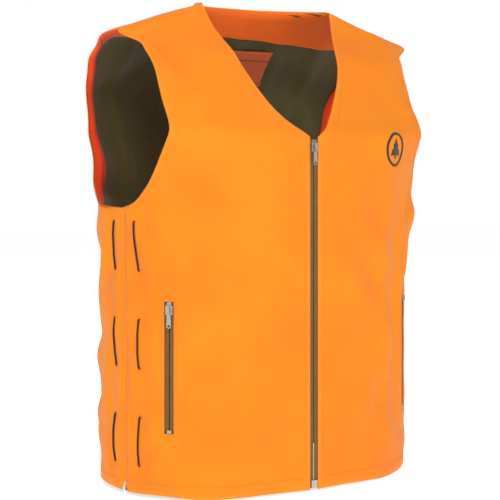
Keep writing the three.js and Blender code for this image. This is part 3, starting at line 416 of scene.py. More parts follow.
# Folds of the shell: side, then angle and height at both ends, width and height in millimetres.
ARC = 3.5  # millimetres along the cloth for a degree round the body
FOLDS = [
    (-1, 60, 640, 24, 566, 13, 2.2), (-1, 50, 602, 18, 520, 17, 2.4), (-1, 62, 452, 30, 385, 15, 2.4),
    (-1, 68, 425, 44, 322, 12, 3.0), (-1, 74, 405, 64, 290, 10, 3.2), (-1, 58, 60, 12, 250, 20, 2.6),
    (-1, 40, 12, 8, 150, 18, 2.6), (-1, 70, 70, 34, 190, 15, 2.2), (-1, 6, 420, 34, 480, 22, 1.6),
    (-1, 52, 240, 18, 380, 20, 2.0), (-1, 20, 8, 15, 60, 16, 2.2), (-1, 66, 25, 52, 110, 10, 2.2),
    (1, 6, 330, 38, 190, 14, 3.2), (1, 5, 410, 44, 280, 15, 2.8), (1, 28, 400, 34, 40, 12, 3.4),
    (1, 47, 420, 44, 90, 10, 3.6), (1, 60, 440, 57, 240, 10, 3.0), (1, 8, 130, 50, 30, 16, 2.8),
    (1, 30, 560, 60, 480, 14, 2.4), (1, 18, 600, 50, 640, 11, 2.4), (1, 70, 420, 50, 350, 12, 3.0),
    (1, 8, 60, 30, 200, 15, 2.2), (1, 40, 640, 70, 668, 7, 2.0), (1, 22, 500, 38, 340, 14, 2.0),
    (-1, 96, 396, 128, 330, 13, 3.6), (-1, 92, 380, 108, 240, 11, 3.4), (-1, 112, 440, 150, 400, 18, 2.8),
    (1, 96, 396, 128, 330, 13, 3.6), (1, 92, 380, 108, 240, 11, 3.4), (1, 112, 440, 150, 400, 18, 2.8),
    (-1, 100, 170, 140, 210, 16, 3.6), (1, 100, 170, 140, 210, 16, 3.6), (-1, 98, 60, 135, 120, 15, 3.0),
    (1, 98, 60, 135, 120, 15, 3.0), (-1, 170, 620, 140, 560, 20, 2.4), (1, 165, 600, 138, 520, 22, 2.4),
    (-1, 150, 30, 168, 330, 24, 3.0), (1, 152, 10, 164, 300, 22, 3.0), (-1, 118, 20, 126, 160, 14, 3.4),
    (1, 118, 20, 124, 190, 14, 3.4), (1, 176, 80, 172, 420, 26, 2.2), (-1, 130, 640, 112, 600, 12, 2.0),
]
FOLD_DEPTH, GATHER_DEPTH = 2.6, 1.6  # how many times deeper the folds and gathers are made
LACE_HOLES = [42 + 67.8 * k for k in range(6)]


def fold_height(side, angle, z):
    """How far the shell stands out at its folds, its gathers at the laces and its fine creases."""
    total = np.zeros(len(angle))
    q = angle * ARC
    for fold_side, a0, z0, a1, z1, width, height in FOLDS:
        if fold_side != side:
            continue
        start, run = np.array([a0 * ARC, z0]), np.array([(a1 - a0) * ARC, z1 - z0])
        t = np.clip(((q - start[0]) * run[0] + (z - start[1]) * run[1]) / (run @ run), 0, 1)
        away = np.hypot(q - start[0] - t * run[0], z - start[1] - t * run[1])
        shape = np.exp(-(away / width) ** 2 / 2) - 0.4 * np.exp(-(away / width / 2) ** 2 / 2)
        total += FOLD_DEPTH * height * (0.3 + 0.7 * np.sin(np.pi * t)) * shape
    laced = soft(z, 10, 40) * (1 - soft(z, 385, 420))
    y = body_point(angle, z)[:, 1]
    for place, width, height in ((-46, 5, 2.6), (-32, 5, -2.2), (-19, 5, 3.0), (4, 6, -1.6), (-70, 6, -1.6),
                                 (16, 7, 2.4), (-84, 8, 1.8)):
        sway = 3 * np.sin(z / 31 + place)
        near = np.where(angle > 125, 0, np.exp(-((y - place - sway) / width) ** 2 / 2))
        total += GATHER_DEPTH * height * laced * near * (0.65 + 0.35 * np.sin(z / 11.3 + place))
    for hole in LACE_HOLES:
        for column in (LACE_FRONT_Y, LACE_REAR_Y):
            near = np.exp(-((z - hole) / 9) ** 2 / 2 - ((y - column) / 9) ** 2 / 2)
            total -= 2.6 * near * (angle < 125)
    points = body_point(angle, z) * MILLIMETRE
    points[:, 0] *= side
    wide = np.array([noise.noise(Vector(p * 9)) for p in points])
    fine = np.array([noise.noise(Vector((p[0] * 34 + 7, p[1] * 34, p[2] * 22))) for p in points])
    flat = soft(body_point(angle, z)[:, 0], 8, 55)
    flat = np.where(angle > 90, 1, flat)
    return (total + 3.2 * wide + 0.7 * fine) * flat


POCKET_X, POCKET_Y = 202, -98.345
POCKET_NORMAL = np.array([0.69764, -0.71645, 0])
POCKET_LOW, POCKET_HIGH = 91, 272


def strip_share(points):
    """1 on the flat strip that holds the pocket zip, and 0 away from it."""
    x, y, z = points[:, 0], points[:, 1], points[:, 2]
    wide = soft(x, 178, 190) * (1 - soft(x, 213, 222)) * (y < 0)
    return wide * soft(z, 60, 84) * (1 - soft(z, 279, 305))


def cloth_points(side, angle, z, depth):
    """Points in metres on one side of the body, some depth inside the shell's outer face."""
    points = body_point(angle, z)
    normal = body_normal(points)
    strip = strip_share(points)[:, None]
    away = ((points - np.array([POCKET_X, POCKET_Y, 0])) @ POCKET_NORMAL)[:, None]
    out = fold_height(side, angle, z)[:, None] * (1 - strip) - np.reshape(depth, (-1, 1))
    normal = normal * (1 - strip) + POCKET_NORMAL * strip
    low = np.clip((30 - z) / 30, 0, 1)[:, None] * np.array([0, 0, 1])
    normal = normal * (1 - low)
    points = points - away * POCKET_NORMAL * strip + normal * out
    hem = np.exp(-z / 22) * (1.6 + 1.4 * np.sin(angle / 7.3) + 4.5 * soft(angle, 35, 85))
    points[:, 2] += hem
    points[:, 0] *= side
    points[:, 1] += AXIS_Y / MILLIMETRE
    return points * MILLIMETRE


def steps(*runs):
    """Shares in a row, from pairs of a share and how many steps lead to it."""
    shares = [runs[0]]
    for share, count in runs[1:]:
        shares += list(np.linspace(shares[-1], share, count + 1)[1:])
    return np.array(shares)


def cloth(name, across, up, where, finish, thickness, keep=None):
    """A sheet over a grid of shares. where() gives its points, and keep() the squares that stay."""
    bm = bmesh.new()
    nx, ny = len(across) - 1, len(up) - 1
    bmesh.ops.create_grid(bm, x_segments=nx, y_segments=ny, size=1)
    flat = np.array([v.co for v in bm.verts])
    column = np.rint((flat[:, 0] + 1) / 2 * nx).astype(int)
    row = np.rint((flat[:, 1] + 1) / 2 * ny).astype(int)
    points = where(across[column], up[row])
    table = np.empty((ny + 1, nx + 1, 3))
    table[row, column] = points
    wide = np.zeros((ny + 1, nx + 1))
    tall = np.zeros((ny + 1, nx + 1))
    wide[:, 1:] = np.cumsum(np.linalg.norm(np.diff(table, axis=1), axis=2), axis=1)
    tall[1:] = np.cumsum(np.linalg.norm(np.diff(table, axis=0), axis=2), axis=0)
    wide -= wide[:, nx // 2:nx // 2 + 1]
    edge = bm.verts.layers.float.new("edge")
    inward = np.minimum.reduce([wide - wide[:, :1], wide[:, -1:] - wide, tall, tall[-1:] - tall])
    near_edge = np.exp(-inward / 0.004)
    for vert, point, c, r in zip(bm.verts, points, column, row):
        vert.co = point
        vert[edge] = near_edge[r, c]
    uv = bm.loops.layers.uv.new("cut")
    for face in bm.faces:
        for loop in face.loops:
            c, r = column[loop.vert.index], row[loop.vert.index]
            loop[uv].uv = (wide[r, c], tall[r, c])
    if keep is not None:
        dropped = []
        for face in bm.faces:
            own = [v.index for v in face.verts]
            if not keep(across[column[own]].mean(), up[row[own]].mean()):
                dropped.append(face)
        bmesh.ops.delete(bm, geom=dropped, context="FACES")
    bm.normal_update()
    bm.faces.ensure_lookup_table()
    facing = sum(f.normal.dot(f.calc_center_median() - Vector((0, AXIS_Y, f.calc_center_median().z)))
                 for f in bm.faces)
    if facing < 0:
        bmesh.ops.reverse_faces(bm, faces=bm.faces)
    piece = new_piece(name, bm, finish)
    wall = piece.modifiers.new("wall", "SOLIDIFY")
    wall.thickness = thickness
    wall.offset = -1
    return piece


def fabric(name, colour, deep, pale, rough, pitch, sheen, crease):
    """Woven cloth: a weave along the cut, small creases, uneven dye and edges rubbed paler."""
    material, shader, nodes = new_finish(name, Sheen_Weight=sheen, Sheen_Roughness=0.4,
                                         Specular_IOR_Level=0.3)
    parts = nodes.cut()
    turn = 2 * math.pi / pitch
    weave = (parts * turn).wave() * (parts.out("Y") * turn).wave()
    place = nodes.place()
    dye = nodes.grain(place, 9.0, 3.0)
    blotch = nodes.grain(place, 70.0, 2.0)
    edge = nodes.make("ShaderNodeAttribute", {"attribute_name": "edge"}, out=2)
    base = ((dye - 0.35) * 1.8 + (blotch - 0.5) * 0.3).tint(colour, deep)
    worn = (edge * 0.35 * (0.5 + blotch)).tint(base, pale)
    roughness = rough + (blotch - 0.5) * 0.12 + weave * 0.03
    small = nodes.bumped(weave, 0.00012, 0.5)
    creased = nodes.bumped(nodes.grain(place, 48.0, 4.0, 0.62), crease, 0.7, small)
    vary(shader, Base_Color=worn, Roughness=roughness, Normal=creased)
    return material


shell_fabric = fabric("blaze_shell", BLAZE, BLAZE_DEEP, BLAZE_PALE, 0.78, 0.0009, 0.12, 0.0007)
SLIT_FRONT, SLIT_REAR = 0.714, 0.756
FRONT_ACROSS = steps(0, (0.012, 3), (SLIT_FRONT, 70), (SLIT_REAR, 4), (0.985, 27), (1, 3))
SLIT_LOW, SLIT_HIGH = (ARMPIT_SHARE * z / ARMPIT_Z for z in (POCKET_LOW, POCKET_HIGH))
FRONT_UP = steps(0, (0.006, 2), (SLIT_LOW, 28), (SLIT_HIGH, 54), (ARMPIT_SHARE, 40), (0.985, 78), (1, 3))
SHELL_WALL = 0.0011
SIDES = (("right", -1), ("left", 1))


def rolled(share, up, reach=0.012, drop=0.9):
    """Depth of the turned edges, which roll inwards."""
    near = np.minimum.reduce([share, 1 - share, up * 2.2, (1 - up) * 1.2])
    return drop * np.clip(1 - near / reach, 0, 1) ** 2


def hang_front(piece):
    """Bakes a front's place into its mesh."""
    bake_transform(piece)


def in_slit(share, up):
    return SLIT_FRONT < share < SLIT_REAR and SLIT_LOW < up < SLIT_HIGH


for name, side in SIDES:
    def on_front(share, up):
        angle, z = front_place(share, up)
        flare = np.clip(1 - z / 18, 0, 1) * soft(share, 0.9, 1) * 2.2
        return cloth_points(side, angle - flare, z, rolled(share, up))

    front = cloth(f"{name}_front_shell", FRONT_ACROSS, FRONT_UP, on_front, shell_fabric, SHELL_WALL,
                  lambda share, up: not in_slit(share, up))
    hang_front(front)
    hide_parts(f"{name}_front_panel", f"{name}_front_edge")

# ---- Back shell ------------------------------------------------------------------
# The back is one piece of the same cloth, from side seam to side seam, with its own
# column of lace holes at each side and a shallow curve at the neck.
BACK_ACROSS = steps(-1, (-0.985, 3), (0.985, 172), (1, 3))
BACK_UP = steps(0, (0.006, 2), (ARMPIT_SHARE, 112), (0.985, 78), (1, 3))


def on_both_sides(share, up, depth):
    """Points on the back, where a share runs from -1 at the right seam to 1 at the left."""
    angle, z = back_place(np.abs(share), up)
    flare = np.clip(1 - z / 18, 0, 1) * soft(np.abs(share), 0.9, 1) * 2.2
    angle = angle + flare
    points = np.where((share < 0)[:, None], cloth_points(-1, angle, z, depth),
                      cloth_points(1, angle, z, depth))
    ease = soft(np.abs(share), 0, 0.06)[:, None]
    level = (cloth_points(-1, angle, z, depth) * [-1, 1, 1] + cloth_points(1, angle, z, depth)) / 2
    level[:, 0] *= np.where(share < 0, -1, 1)
    return points * ease + level * (1 - ease)


back_shell = cloth("back_shell", BACK_ACROSS, BACK_UP,
                   lambda share, up: on_both_sides(share, up, rolled((share + 1) / 2, up, 0.006)),
                   shell_fabric, SHELL_WALL)
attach(back_shell, "vest_body")
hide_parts("back_panel")

# ---- Lining ----------------------------------------------------------------------
# Olive taffeta, cut a little full, lies behind each panel. It is set deeper behind the
# pocket bags and the laces, and is caught in the seams all round.
lining_fabric = fabric("olive_taffeta", linear(84, 76, 38), linear(58, 52, 24), linear(104, 96, 54),
                       0.42, 0.0005, 0.25, 0.0012)
LINING_DEPTH = 3.2
LINING_WALL = 0.0005
LINING_START = 0.25  # of a front's width, where the lining meets the facing


def lining_depth(angle, z, share, up):
    """Depth of the lining, with its own soft folds, which only go inwards."""
    x = body_point(angle, z)[:, 0]
    laced = soft(angle, 58, 68) * (1 - soft(angle, 92, 104)) * (1 - soft(z, 388, 412))
    bagged = soft(x, 98, 112) * (1 - soft(x, 216, 224)) * (angle < 75)
    bagged *= soft(z, 50, 62) * (1 - soft(z, 300, 318))
    depth = LINING_DEPTH + np.maximum(6.2 * laced, 5.4 * bagged)
    ripple = np.sin(x / 11 + 2.1 * np.sin(z / 57) + z / 90) * 0.5 + 0.5
    slack = soft(np.minimum.reduce([share, 1 - share, up * 1.6, 1 - up]), 0.02, 0.14)
    depth += slack * (4.2 * ripple ** 3 + 1.6 * (np.sin(z / 23 + x / 31) * 0.5 + 0.5) ** 2)
    edge = np.minimum.reduce([share, 1 - share, up * 1.6, 1 - up])
    return between(1.6, depth, soft(edge, 0, 0.03))


for name, side in SIDES:
    def on_front_lining(share, up):
        angle, z = front_place(share, up)
        return cloth_points(side, angle, z + 1.2 * (1 - up),
                            lining_depth(angle, z, (share - LINING_START) / (1 - LINING_START), up))

    lining = cloth(f"{name}_front_taffeta", steps(LINING_START, (0.985, 62), (0.998, 2)),
                   steps(0, (ARMPIT_SHARE, 92), (0.995, 62)), on_front_lining, lining_fabric, LINING_WALL)
    hang_front(lining)
    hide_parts(f"{name}_front_lining")


def on_back_lining(share, up):
    angle, z = back_place(np.abs(share), up)
    depth = lining_depth(angle, z, (share + 1) / 2, up)
    return on_both_sides(share, up, depth) + np.array([0, 0, 0.0012]) * (1 - up)[:, None]


back_taffeta = cloth("back_taffeta", steps(-0.998, (-0.985, 2), (0.985, 130), (0.998, 2)),
                     steps(0, (ARMPIT_SHARE, 92), (0.995, 66)), on_back_lining, lining_fabric, LINING_WALL)
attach(back_taffeta, "vest_body")
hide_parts("back_lining")

# ---- Facings ---------------------------------------------------------------------
# Bands of the shell's own cloth turn in at the zip, the V, the back neck and the armholes.
# They are sewn over the lining's edge, and the armhole bands are cut on the bias. Their colour
# is the shell's orange painted darker and redder as painted shade inside the vest, the armhole
# bands darkest.
# painted shade: a darker, redder copy of the shell's orange for the shaded inside of the vest
shaded_facing_cloth = fabric("painted_shade_facing", linear(246, 108, 30), linear(236, 88, 24), linear(250, 130, 48),
                       0.8, 0.0009, 0.1, 0.0006)
# painted shade: a still darker, redder copy of the shell's orange for the shaded armhole insides
shaded_armhole_cloth = fabric("painted_shade_armhole_band", linear(246, 70, 26), linear(226, 50, 22), linear(250, 96, 40),
                        0.8, 0.0009, 0.1, 0.0006)
FACING_DEPTH = 4.4
FACING_WALL = 0.0006
NECK_ROW = ARMPIT_SHARE + (1 - ARMPIT_SHARE) * FACING_ROW


def band_depth(outer_edge, floor):
    """A facing starts at the panel's edge and lies over the lining further in."""
    return between(floor, FACING_DEPTH, soft(outer_edge, 0, 0.025))


def over_lining(lining, inward):
    """Depth of a band that starts at the shell and lies inside the lining further in."""
    return between(1.3, np.maximum(lining, LINING_DEPTH) + 1.2, inward)


for name, side in SIDES:
    def on_facing(share, up):
        angle, z = front_place(share, up)
        floor = np.where(up < ARMPIT_SHARE, 2.7, 1.3)
        edge = np.minimum.reduce([share, (1 - up) * 1.2, up + 0.01])
        return cloth_points(side, angle, z + 1.0 * (1 - up), band_depth(edge, floor))

    facing = cloth(f"{name}_front_band", steps(0.001, (0.012, 2), (0.27, 26)),
                   steps(0, (ARMPIT_SHARE, 92), (0.985, 60), (0.997, 2)), on_facing,
                   shaded_facing_cloth, FACING_WALL)
    hang_front(facing)
    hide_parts(f"{name}_front_facing", f"{name}_neck_facing")

    for part, place_on, start, count, flat, area, under in (
        ("front", front_place, 0.87, 14, (0.04, 0.31), 0.0095, f"{name}_front_shell"),
        ("back", back_place, 0.72, 16, (0.04, 0.36), 0.012, "back_shell"),
    ):
        def on_armhole(share, up):
            angle, z = place_on(share, up)
            return cloth_points(side, angle, z, over_lining(lining_depth(angle, z, share, up),
                                                            soft(1 - share, 0, 0.05)))

        band = cloth(f"{name}_armhole_{part}_band", steps(start, (0.985, count), (0.999, 2)),
                     steps(0.575, (0.985, 84), (0.997, 2)), on_armhole, shaded_armhole_cloth, FACING_WALL)
        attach(band, "vest_body")
        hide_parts(f"{name}_armhole_{part}_facing")


def on_neck_band(share, up):
    edge = np.minimum((1 - up) * 1.2, 1.0)
    angle, z = back_place(np.abs(share), up)
    lining = lining_depth(angle, z, (share + 1) / 2, up)
    return on_both_sides(share, up, over_lining(lining, soft(edge, 0, 0.03)))


neck_band = cloth("back_neck_band", steps(-0.66, (0.66, 84)), steps(NECK_ROW, (0.985, 16), (0.997, 2)),
                  on_neck_band, shaded_facing_cloth, FACING_WALL)
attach(neck_band, "vest_body")
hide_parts("back_neck_facing")

# ---- Hand pocket bags ------------------------------------------------------------
# Each bag is one piece of taffeta folded at its front and sewn round, hung from the slit
# between the shell and the lining. Only its mouth is open.
BAG_ACROSS, BAG_UP = (0.395, 0.775), tuple(ARMPIT_SHARE * z / ARMPIT_Z for z in (50, 300))
BAG_DEPTH, BAG_HALF = 5.3, 1.7  # middle of the bag behind the shell, and half its thickness


def on_bag(side, share, up):
    """The share runs round the bag: its front layer to 0.5, and its back layer after."""
    layer = np.where(share < 0.5, -1, 1)
    around = np.where(share < 0.5, 1 - 2 * share, 2 * share - 1)
    across = between(BAG_ACROSS[0], BAG_ACROSS[1], around)
    angle, z = front_place(across, between(BAG_UP[0], BAG_UP[1], up))
    inward = np.minimum.reduce([around * 12, (1 - around) * 12, up * 14, (1 - up) * 14])
    return cloth_points(side, angle, z, BAG_DEPTH + layer * BAG_HALF * np.sqrt(np.clip(inward, 0, 1)))


for name, side in SIDES:
    bag = cloth(f"{name}_hand_bag", steps(0, (0.5, 40), (1, 40)), steps(0, (1, 60)),
                lambda share, up: on_bag(side, share, up), lining_fabric, 0.0004,
                lambda share, up: not (0.04 < share < 0.10 and 0.125 < up < 0.93))
    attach(bag, "vest_body")
    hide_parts(f"{name}_pocket_bag")

# ---- Zips ------------------------------------------------------------------------
# Nylon coil zips sewn in with the coil inside, so that the flat woven tape shows. The
# front one comes apart at its box; the pockets' stay closed at both ends. Nickel sliders.
TAPE_TOP, TAPE_WALL = 0.0018, 0.0006
COIL_PITCH, COIL_WIRE = 0.0016, 0.00033
COIL_MIDDLE, COIL_HALF, COIL_DEPTH, COIL_RISE = 0.0020, 0.00080, 0.0036, 0.00060


def tape_finish(name, colour, deep):
    """Herringbone tape: rows of slanted stitches along the tape."""
    material, shader, nodes = new_finish(name, Specular_IOR_Level=0.25, Sheen_Weight=0.1)
    parts = nodes.cut()
    row = (parts * 2300).wave()
    slant = (parts.out("Y") * 5200 + row.maths("SIGN", row) * parts * 2600).wave()
    place = nodes.place()
    dust = nodes.grain(place, 120.0, 3.0)
    vary(shader, Base_Color=(slant * 0.22 + dust * 0.7).tint(deep, colour), Roughness=0.8 - slant * 0.05,
         Normal=nodes.bumped(slant + row, 0.00012, 0.7))
    return material


zip_tape = tape_finish("taupe_tape", linear(142, 108, 66), linear(104, 76, 44))
zip_coil, coil_shader, coil_nodes = new_finish("taupe_coil", Roughness=0.42, Specular_IOR_Level=0.5)
coil_place = coil_nodes.place()
coil_grain = coil_nodes.grain(coil_place, 400.0)
vary(coil_shader, Base_Color=coil_grain.tint(linear(92, 66, 38), linear(126, 94, 58)))


def tube(name, path, radius, sides, finish, place=None):
    """A round strand along a path, closed at both ends, with a map of its turn and its length."""
    bm = bmesh.new()
    mark = bm.verts.layers.int.new("turn")
    length = bm.verts.layers.float.new("length")
    points = [Vector(p) for p in path]
    tangents = [(points[min(k + 1, len(points) - 1)] - points[max(k - 1, 0)]).normalized()
                for k in range(len(points))]
    ring = bmesh.ops.create_circle(bm, segments=sides, radius=radius)["verts"]
    side_way = tangents[0].orthogonal().normalized()
    for k, vert in enumerate(ring):
        vert[mark] = k
    along = 0.0
    edges = bm.edges[:]
    for k, (point, tangent) in enumerate(zip(points, tangents)):
        if k:
            grown = bmesh.ops.extrude_edge_only(bm, edges=edges)["geom"]
            ring = [g for g in grown if isinstance(g, bmesh.types.BMVert)]
            edges = [g for g in grown if isinstance(g, bmesh.types.BMEdge)
                     and g.verts[0] in ring and g.verts[1] in ring]
            along += (point - points[k - 1]).length
        side_way = (side_way - tangent * side_way.dot(tangent)).normalized()
        other = tangent.cross(side_way)
        for vert in ring:
            turn = 2 * math.pi * vert[mark] / sides
            vert.co = point + radius * (math.cos(turn) * side_way + math.sin(turn) * other)
            vert[length] = along
    uv = bm.loops.layers.uv.new("cut")
    for face in bm.faces:
        marks = [loop.vert[mark] for loop in face.loops]
        wraps = max(marks) - min(marks) > 1
        for loop, own in zip(face.loops, marks):
            loop[uv].uv = ((sides if wraps and own == 0 else own) / sides, loop.vert[length])
    bmesh.ops.holes_fill(bm, edges=[e for e in bm.edges if e.is_boundary], sides=0)
    bmesh.ops.recalc_face_normals(bm, faces=bm.faces)
    if place is not None:
        bm.transform(place)
    return new_piece(name, bm, finish)


def zip_tape_piece(name, way, low, high, place, body, node):
    """One side's tape, way -1 or 1 from the middle of the zip, with a rolled inner edge."""
    def on_tape(share, up):
        x = between(0.0006, 0.0119, share)
        roll = 0.0004 * np.exp(-share / 0.05)
        points = np.stack([way * x, TAPE_TOP + roll, between(low, high, up)], -1)
        spun = np.array(place.to_3x3())
        return points @ spun.T + np.array(place.translation)

    tape = cloth(name, steps(0, (0.12, 3), (1, 8)), steps(0, (1, max(2, int((high - low) / 0.006)))),
                 on_tape, zip_tape, TAPE_WALL)
    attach(tape, body)
    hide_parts(node)


def zip_coil_piece(name, way, low, high, place, body, node):
    turns = int((high - low) / COIL_PITCH)
    path = []
    for k in range(turns * 8 + 1):
        turn = 2 * math.pi * k / 8
        path.append((way * (COIL_MIDDLE + COIL_HALF * math.cos(turn)),
                     COIL_DEPTH + COIL_RISE * math.sin(turn), low + k * COIL_PITCH / 8))
    coil = tube(name, path, COIL_WIRE, 4, zip_coil, place)
    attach(coil, body)
    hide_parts(node)


front_zip_place = Matrix.Translation((0, AXIS_Y - HALF_DEPTH * MILLIMETRE, 0))
for name, side in SIDES:
    node_low, node_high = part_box(f"{name}_zip_tape")
    zip_tape_piece(f"{name}_tape", side, node_low.z, node_high.z, front_zip_place, f"{name}_front",
                   f"{name}_zip_tape")
    node_low, node_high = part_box(f"{name}_zip_coil")
    zip_coil_piece(f"{name}_coil", side, node_low.z, node_high.z, front_zip_place, f"{name}_front",
                   f"{name}_zip_coil")
    spin = side * math.atan2(POCKET_NORMAL[0], -POCKET_NORMAL[1])
    pocket_place = (Matrix.Translation((side * POCKET_X * MILLIMETRE, AXIS_Y + POCKET_Y * MILLIMETRE, 0))
                    @ Matrix.Rotation(spin, 4, "Z"))
    for half, way in (("front", -side), ("rear", side)):
        node_low, node_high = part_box(f"{name}_pocket_{half}_tape")
        zip_tape_piece(f"{name}_pocket_{half}_tape_piece", way, node_low.z, node_high.z, pocket_place,
                       "vest_body", f"{name}_pocket_{half}_tape")
        node_low, node_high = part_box(f"{name}_pocket_{half}_coil")
        zip_coil_piece(f"{name}_pocket_{half}_coil_piece", way, node_low.z, node_high.z, pocket_place,
                       "vest_body", f"{name}_pocket_{half}_coil")

nickel, nickel_shader, nickel_nodes = new_finish("brushed_nickel", Metallic=1.0)
nickel_place = nickel_nodes.place()
nickel_wear = nickel_nodes.grain(nickel_place, 260.0, 4.0, 0.6)
vary(nickel_shader, Base_Color=nickel_wear.tint(linear(150, 146, 140), linear(206, 203, 198)),
     Roughness=0.24 + nickel_wear * 0.26, Normal=nickel_nodes.bumped(nickel_wear, 0.00006, 0.5))
METAL = ["right_top_stop", "left_top_stop", "retainer_box", "zip_slider", "zip_puller"]
METAL += [f"{name}_pocket_{part}" for name, _ in SIDES
          for part in ("bottom_stop", "top_stop", "slider", "puller")]
for node in METAL:
    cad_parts[node].data.materials.clear()
    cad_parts[node].data.materials.append(nickel)

# ---- Side laces ------------------------------------------------------------------
# A thin braided elastic, black, is threaded through the holes each side of the side seam.
# It shows as three stitches in each column, and both its ends are caught in the seam.
CORD = 2.6
LACE_NEAR, LACE_FAR = 4.0, 7.0
lace_cord, lace_shader, lace_nodes = new_finish("black_braid", Specular_IOR_Level=0.3, Sheen_Weight=0.2)
lace_parts = lace_nodes.cut()
lace_up, lace_round = lace_parts.out("Y") * 2600, lace_parts * (8 * math.pi)
lace_plait = (lace_up + lace_round).wave() * (lace_up - lace_round).wave()
vary(lace_shader, Base_Color=(lace_plait * 0.5 + 0.5).tint(linear(14, 11, 10), linear(44, 36, 32)),
     Roughness=0.72 - lace_plait * 0.08, Normal=lace_nodes.bumped(lace_plait, 0.0002, 0.8))


def side_point(side, y, z, depth):
    ys, zs = np.array([float(y)]), np.array([float(z)])
    return Vector(cloth_points(side, angle_at_y(ys, zs), zs, depth)[0])


def outside_run(side, y, first, last):
    """Down or up a column outside the shell, in at both holes."""
    z0, z1 = LACE_HOLES[first], LACE_HOLES[last]
    way = math.copysign(1, z1 - z0)
    over = -CORD / 2 - 0.3
    run = [(z0, 2.2), (z0, 0.2), (z0 + way * 1.6, over)]
    run += [(between(z0, z1, k / 8), over) for k in range(1, 8)]
    run += [(z1 - way * 1.6, over), (z1, 0.2), (z1, 2.2)]
    return [side_point(side, y, z, depth) for z, depth in run]


def inside_run(side, y0, y1, first, last, crossing):
    z0, z1 = LACE_HOLES[first], LACE_HOLES[last]
    run = []
    for share in (0.05, 0.15, 0.27, 0.38, 0.5, 0.62, 0.73, 0.85, 0.95):
        depth = between(LACE_NEAR, crossing, math.exp(-((share - 0.5) / 0.2) ** 2))
        run.append(side_point(side, between(y0, y1, share), between(z0, z1, share), depth))
    return run


def smoothed(points):
    """Three times as many points, on a curve that passes through them all (Catmull-Rom)."""
    path = []
    for k in range(len(points) - 1):
        before, here = points[max(k - 1, 0)], points[k]
        after, beyond = points[k + 1], points[min(k + 2, len(points) - 1)]
        for t in (0, 1 / 3, 2 / 3):
            path.append(0.5 * (2 * here + (after - before) * t
                               + (2 * before - 5 * here + 4 * after - beyond) * t * t
                               + (3 * here - before - 3 * after + beyond) * t ** 3))
    return path + [points[-1]]


for name, side in SIDES:
    fore, rear = LACE_FRONT_Y, LACE_REAR_Y
    top = LACE_HOLES[-1]
    ends = [[side_point(side, SEAM_Y + way, top, LACE_NEAR),
             side_point(side, between(SEAM_Y + way, y, 0.85), top, LACE_NEAR)]
            for y, way in ((fore, -1), (rear, 1))]
    route = (ends[0] + outside_run(side, fore, 5, 4) + inside_run(side, fore, rear, 4, 3, LACE_NEAR)
             + outside_run(side, rear, 3, 2) + inside_run(side, rear, fore, 2, 1, LACE_NEAR)
             + outside_run(side, fore, 1, 0) + inside_run(side, fore, rear, 0, 0, LACE_NEAR)
             + outside_run(side, rear, 0, 1) + inside_run(side, rear, fore, 1, 2, LACE_FAR)
             + outside_run(side, fore, 2, 3) + inside_run(side, fore, rear, 3, 4, LACE_FAR)
             + outside_run(side, rear, 4, 5) + ends[1][::-1])
    lace = tube(f"{name}_lace", smoothed(route), CORD / 2 * MILLIMETRE, 12, lace_cord)
    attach(lace, "vest_body")
    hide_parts(f"{name}_side_lace")

# ---- Lace holes ------------------------------------------------------------------
# Each hole is worked round with orange thread, as a small eyelet that keeps the cloth
# from fraying where the elastic runs through.
thread_finish, thread_shader, thread_nodes = new_finish("blaze_thread", Specular_IOR_Level=0.35,
                                                        Sheen_Weight=0.15)
thread_place = thread_nodes.place()
thread_twist = thread_nodes.grain(thread_place, 900.0, 2.0)
vary(thread_shader, Base_Color=thread_twist.tint(linear(226, 96, 22), linear(252, 140, 40)),
     Roughness=0.5 + thread_twist * 0.2, Normal=thread_nodes.bumped(thread_twist, 0.0001, 0.6))
EYELET_STITCHES, EYELET_RADIUS = 18, 0.0024

for name, side in SIDES:
    eyelets = bmesh.new()
    for y in (LACE_FRONT_Y, LACE_REAR_Y):
        for z in LACE_HOLES:
            centre = side_point(side, y, z, 0)
            outward = (side_point(side, y, z, -2) - centre).normalized()
            up_way = (Vector((0, 0, 1)) - outward * outward.z).normalized()
            across_way = up_way.cross(outward)
            for k in range(EYELET_STITCHES):
                turn = 2 * math.pi * k / EYELET_STITCHES
                spoke = math.cos(turn) * across_way + math.sin(turn) * up_way
                aim = spoke.to_track_quat("Z", "Y").to_matrix().to_4x4()
                bmesh.ops.create_cone(
                    eyelets, cap_ends=True, segments=5, radius1=0.00034, radius2=0.00042, depth=0.0015,
                    matrix=Matrix.Translation(centre + spoke * EYELET_RADIUS + outward * 0.00015) @ aim)
    ring_piece = new_piece(f"{name}_lace_eyelets", eyelets, thread_finish)
    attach(ring_piece, "vest_body")

# ---- Topstitching ----------------------------------------------------------------
# One row of lockstitch holds every turned edge, and the side seams and pocket slits have
# theirs on both sides. Each stitch is a short raised thread.
STITCH_PITCH, STITCH_LENGTH, STITCH_RADIUS = 0.0033, 0.0024, 0.00032


def stitch_row(bm, points, outward):
    """Stitches at an even pitch along a line of points."""
    far = np.concatenate([[0], np.cumsum(np.linalg.norm(np.diff(points, axis=0), axis=1))])
    for at in np.arange(STITCH_PITCH, far[-1], STITCH_PITCH):
        place = Vector([np.interp(at, far, points[:, k]) for k in range(3)])
        ahead = Vector([np.interp(at + 0.001, far, points[:, k]) for k in range(3)])
        lift = Vector([np.interp(at, far, outward[:, k]) for k in range(3)])
        if (ahead - place).length < 1e-6:
            continue
        aim = (ahead - place).to_track_quat("Z", "Y").to_matrix().to_4x4()
        bmesh.ops.create_cone(bm, cap_ends=True, segments=5, radius1=STITCH_RADIUS, radius2=STITCH_RADIUS,
                              depth=STITCH_LENGTH, matrix=Matrix.Translation(place + lift * 0.0001) @ aim)


def row_on(where, bm, shares, ups):
    points = where(shares, ups, 0.0)
    stitch_row(bm, points, (where(shares, ups, -1.0) - points) / MILLIMETRE)


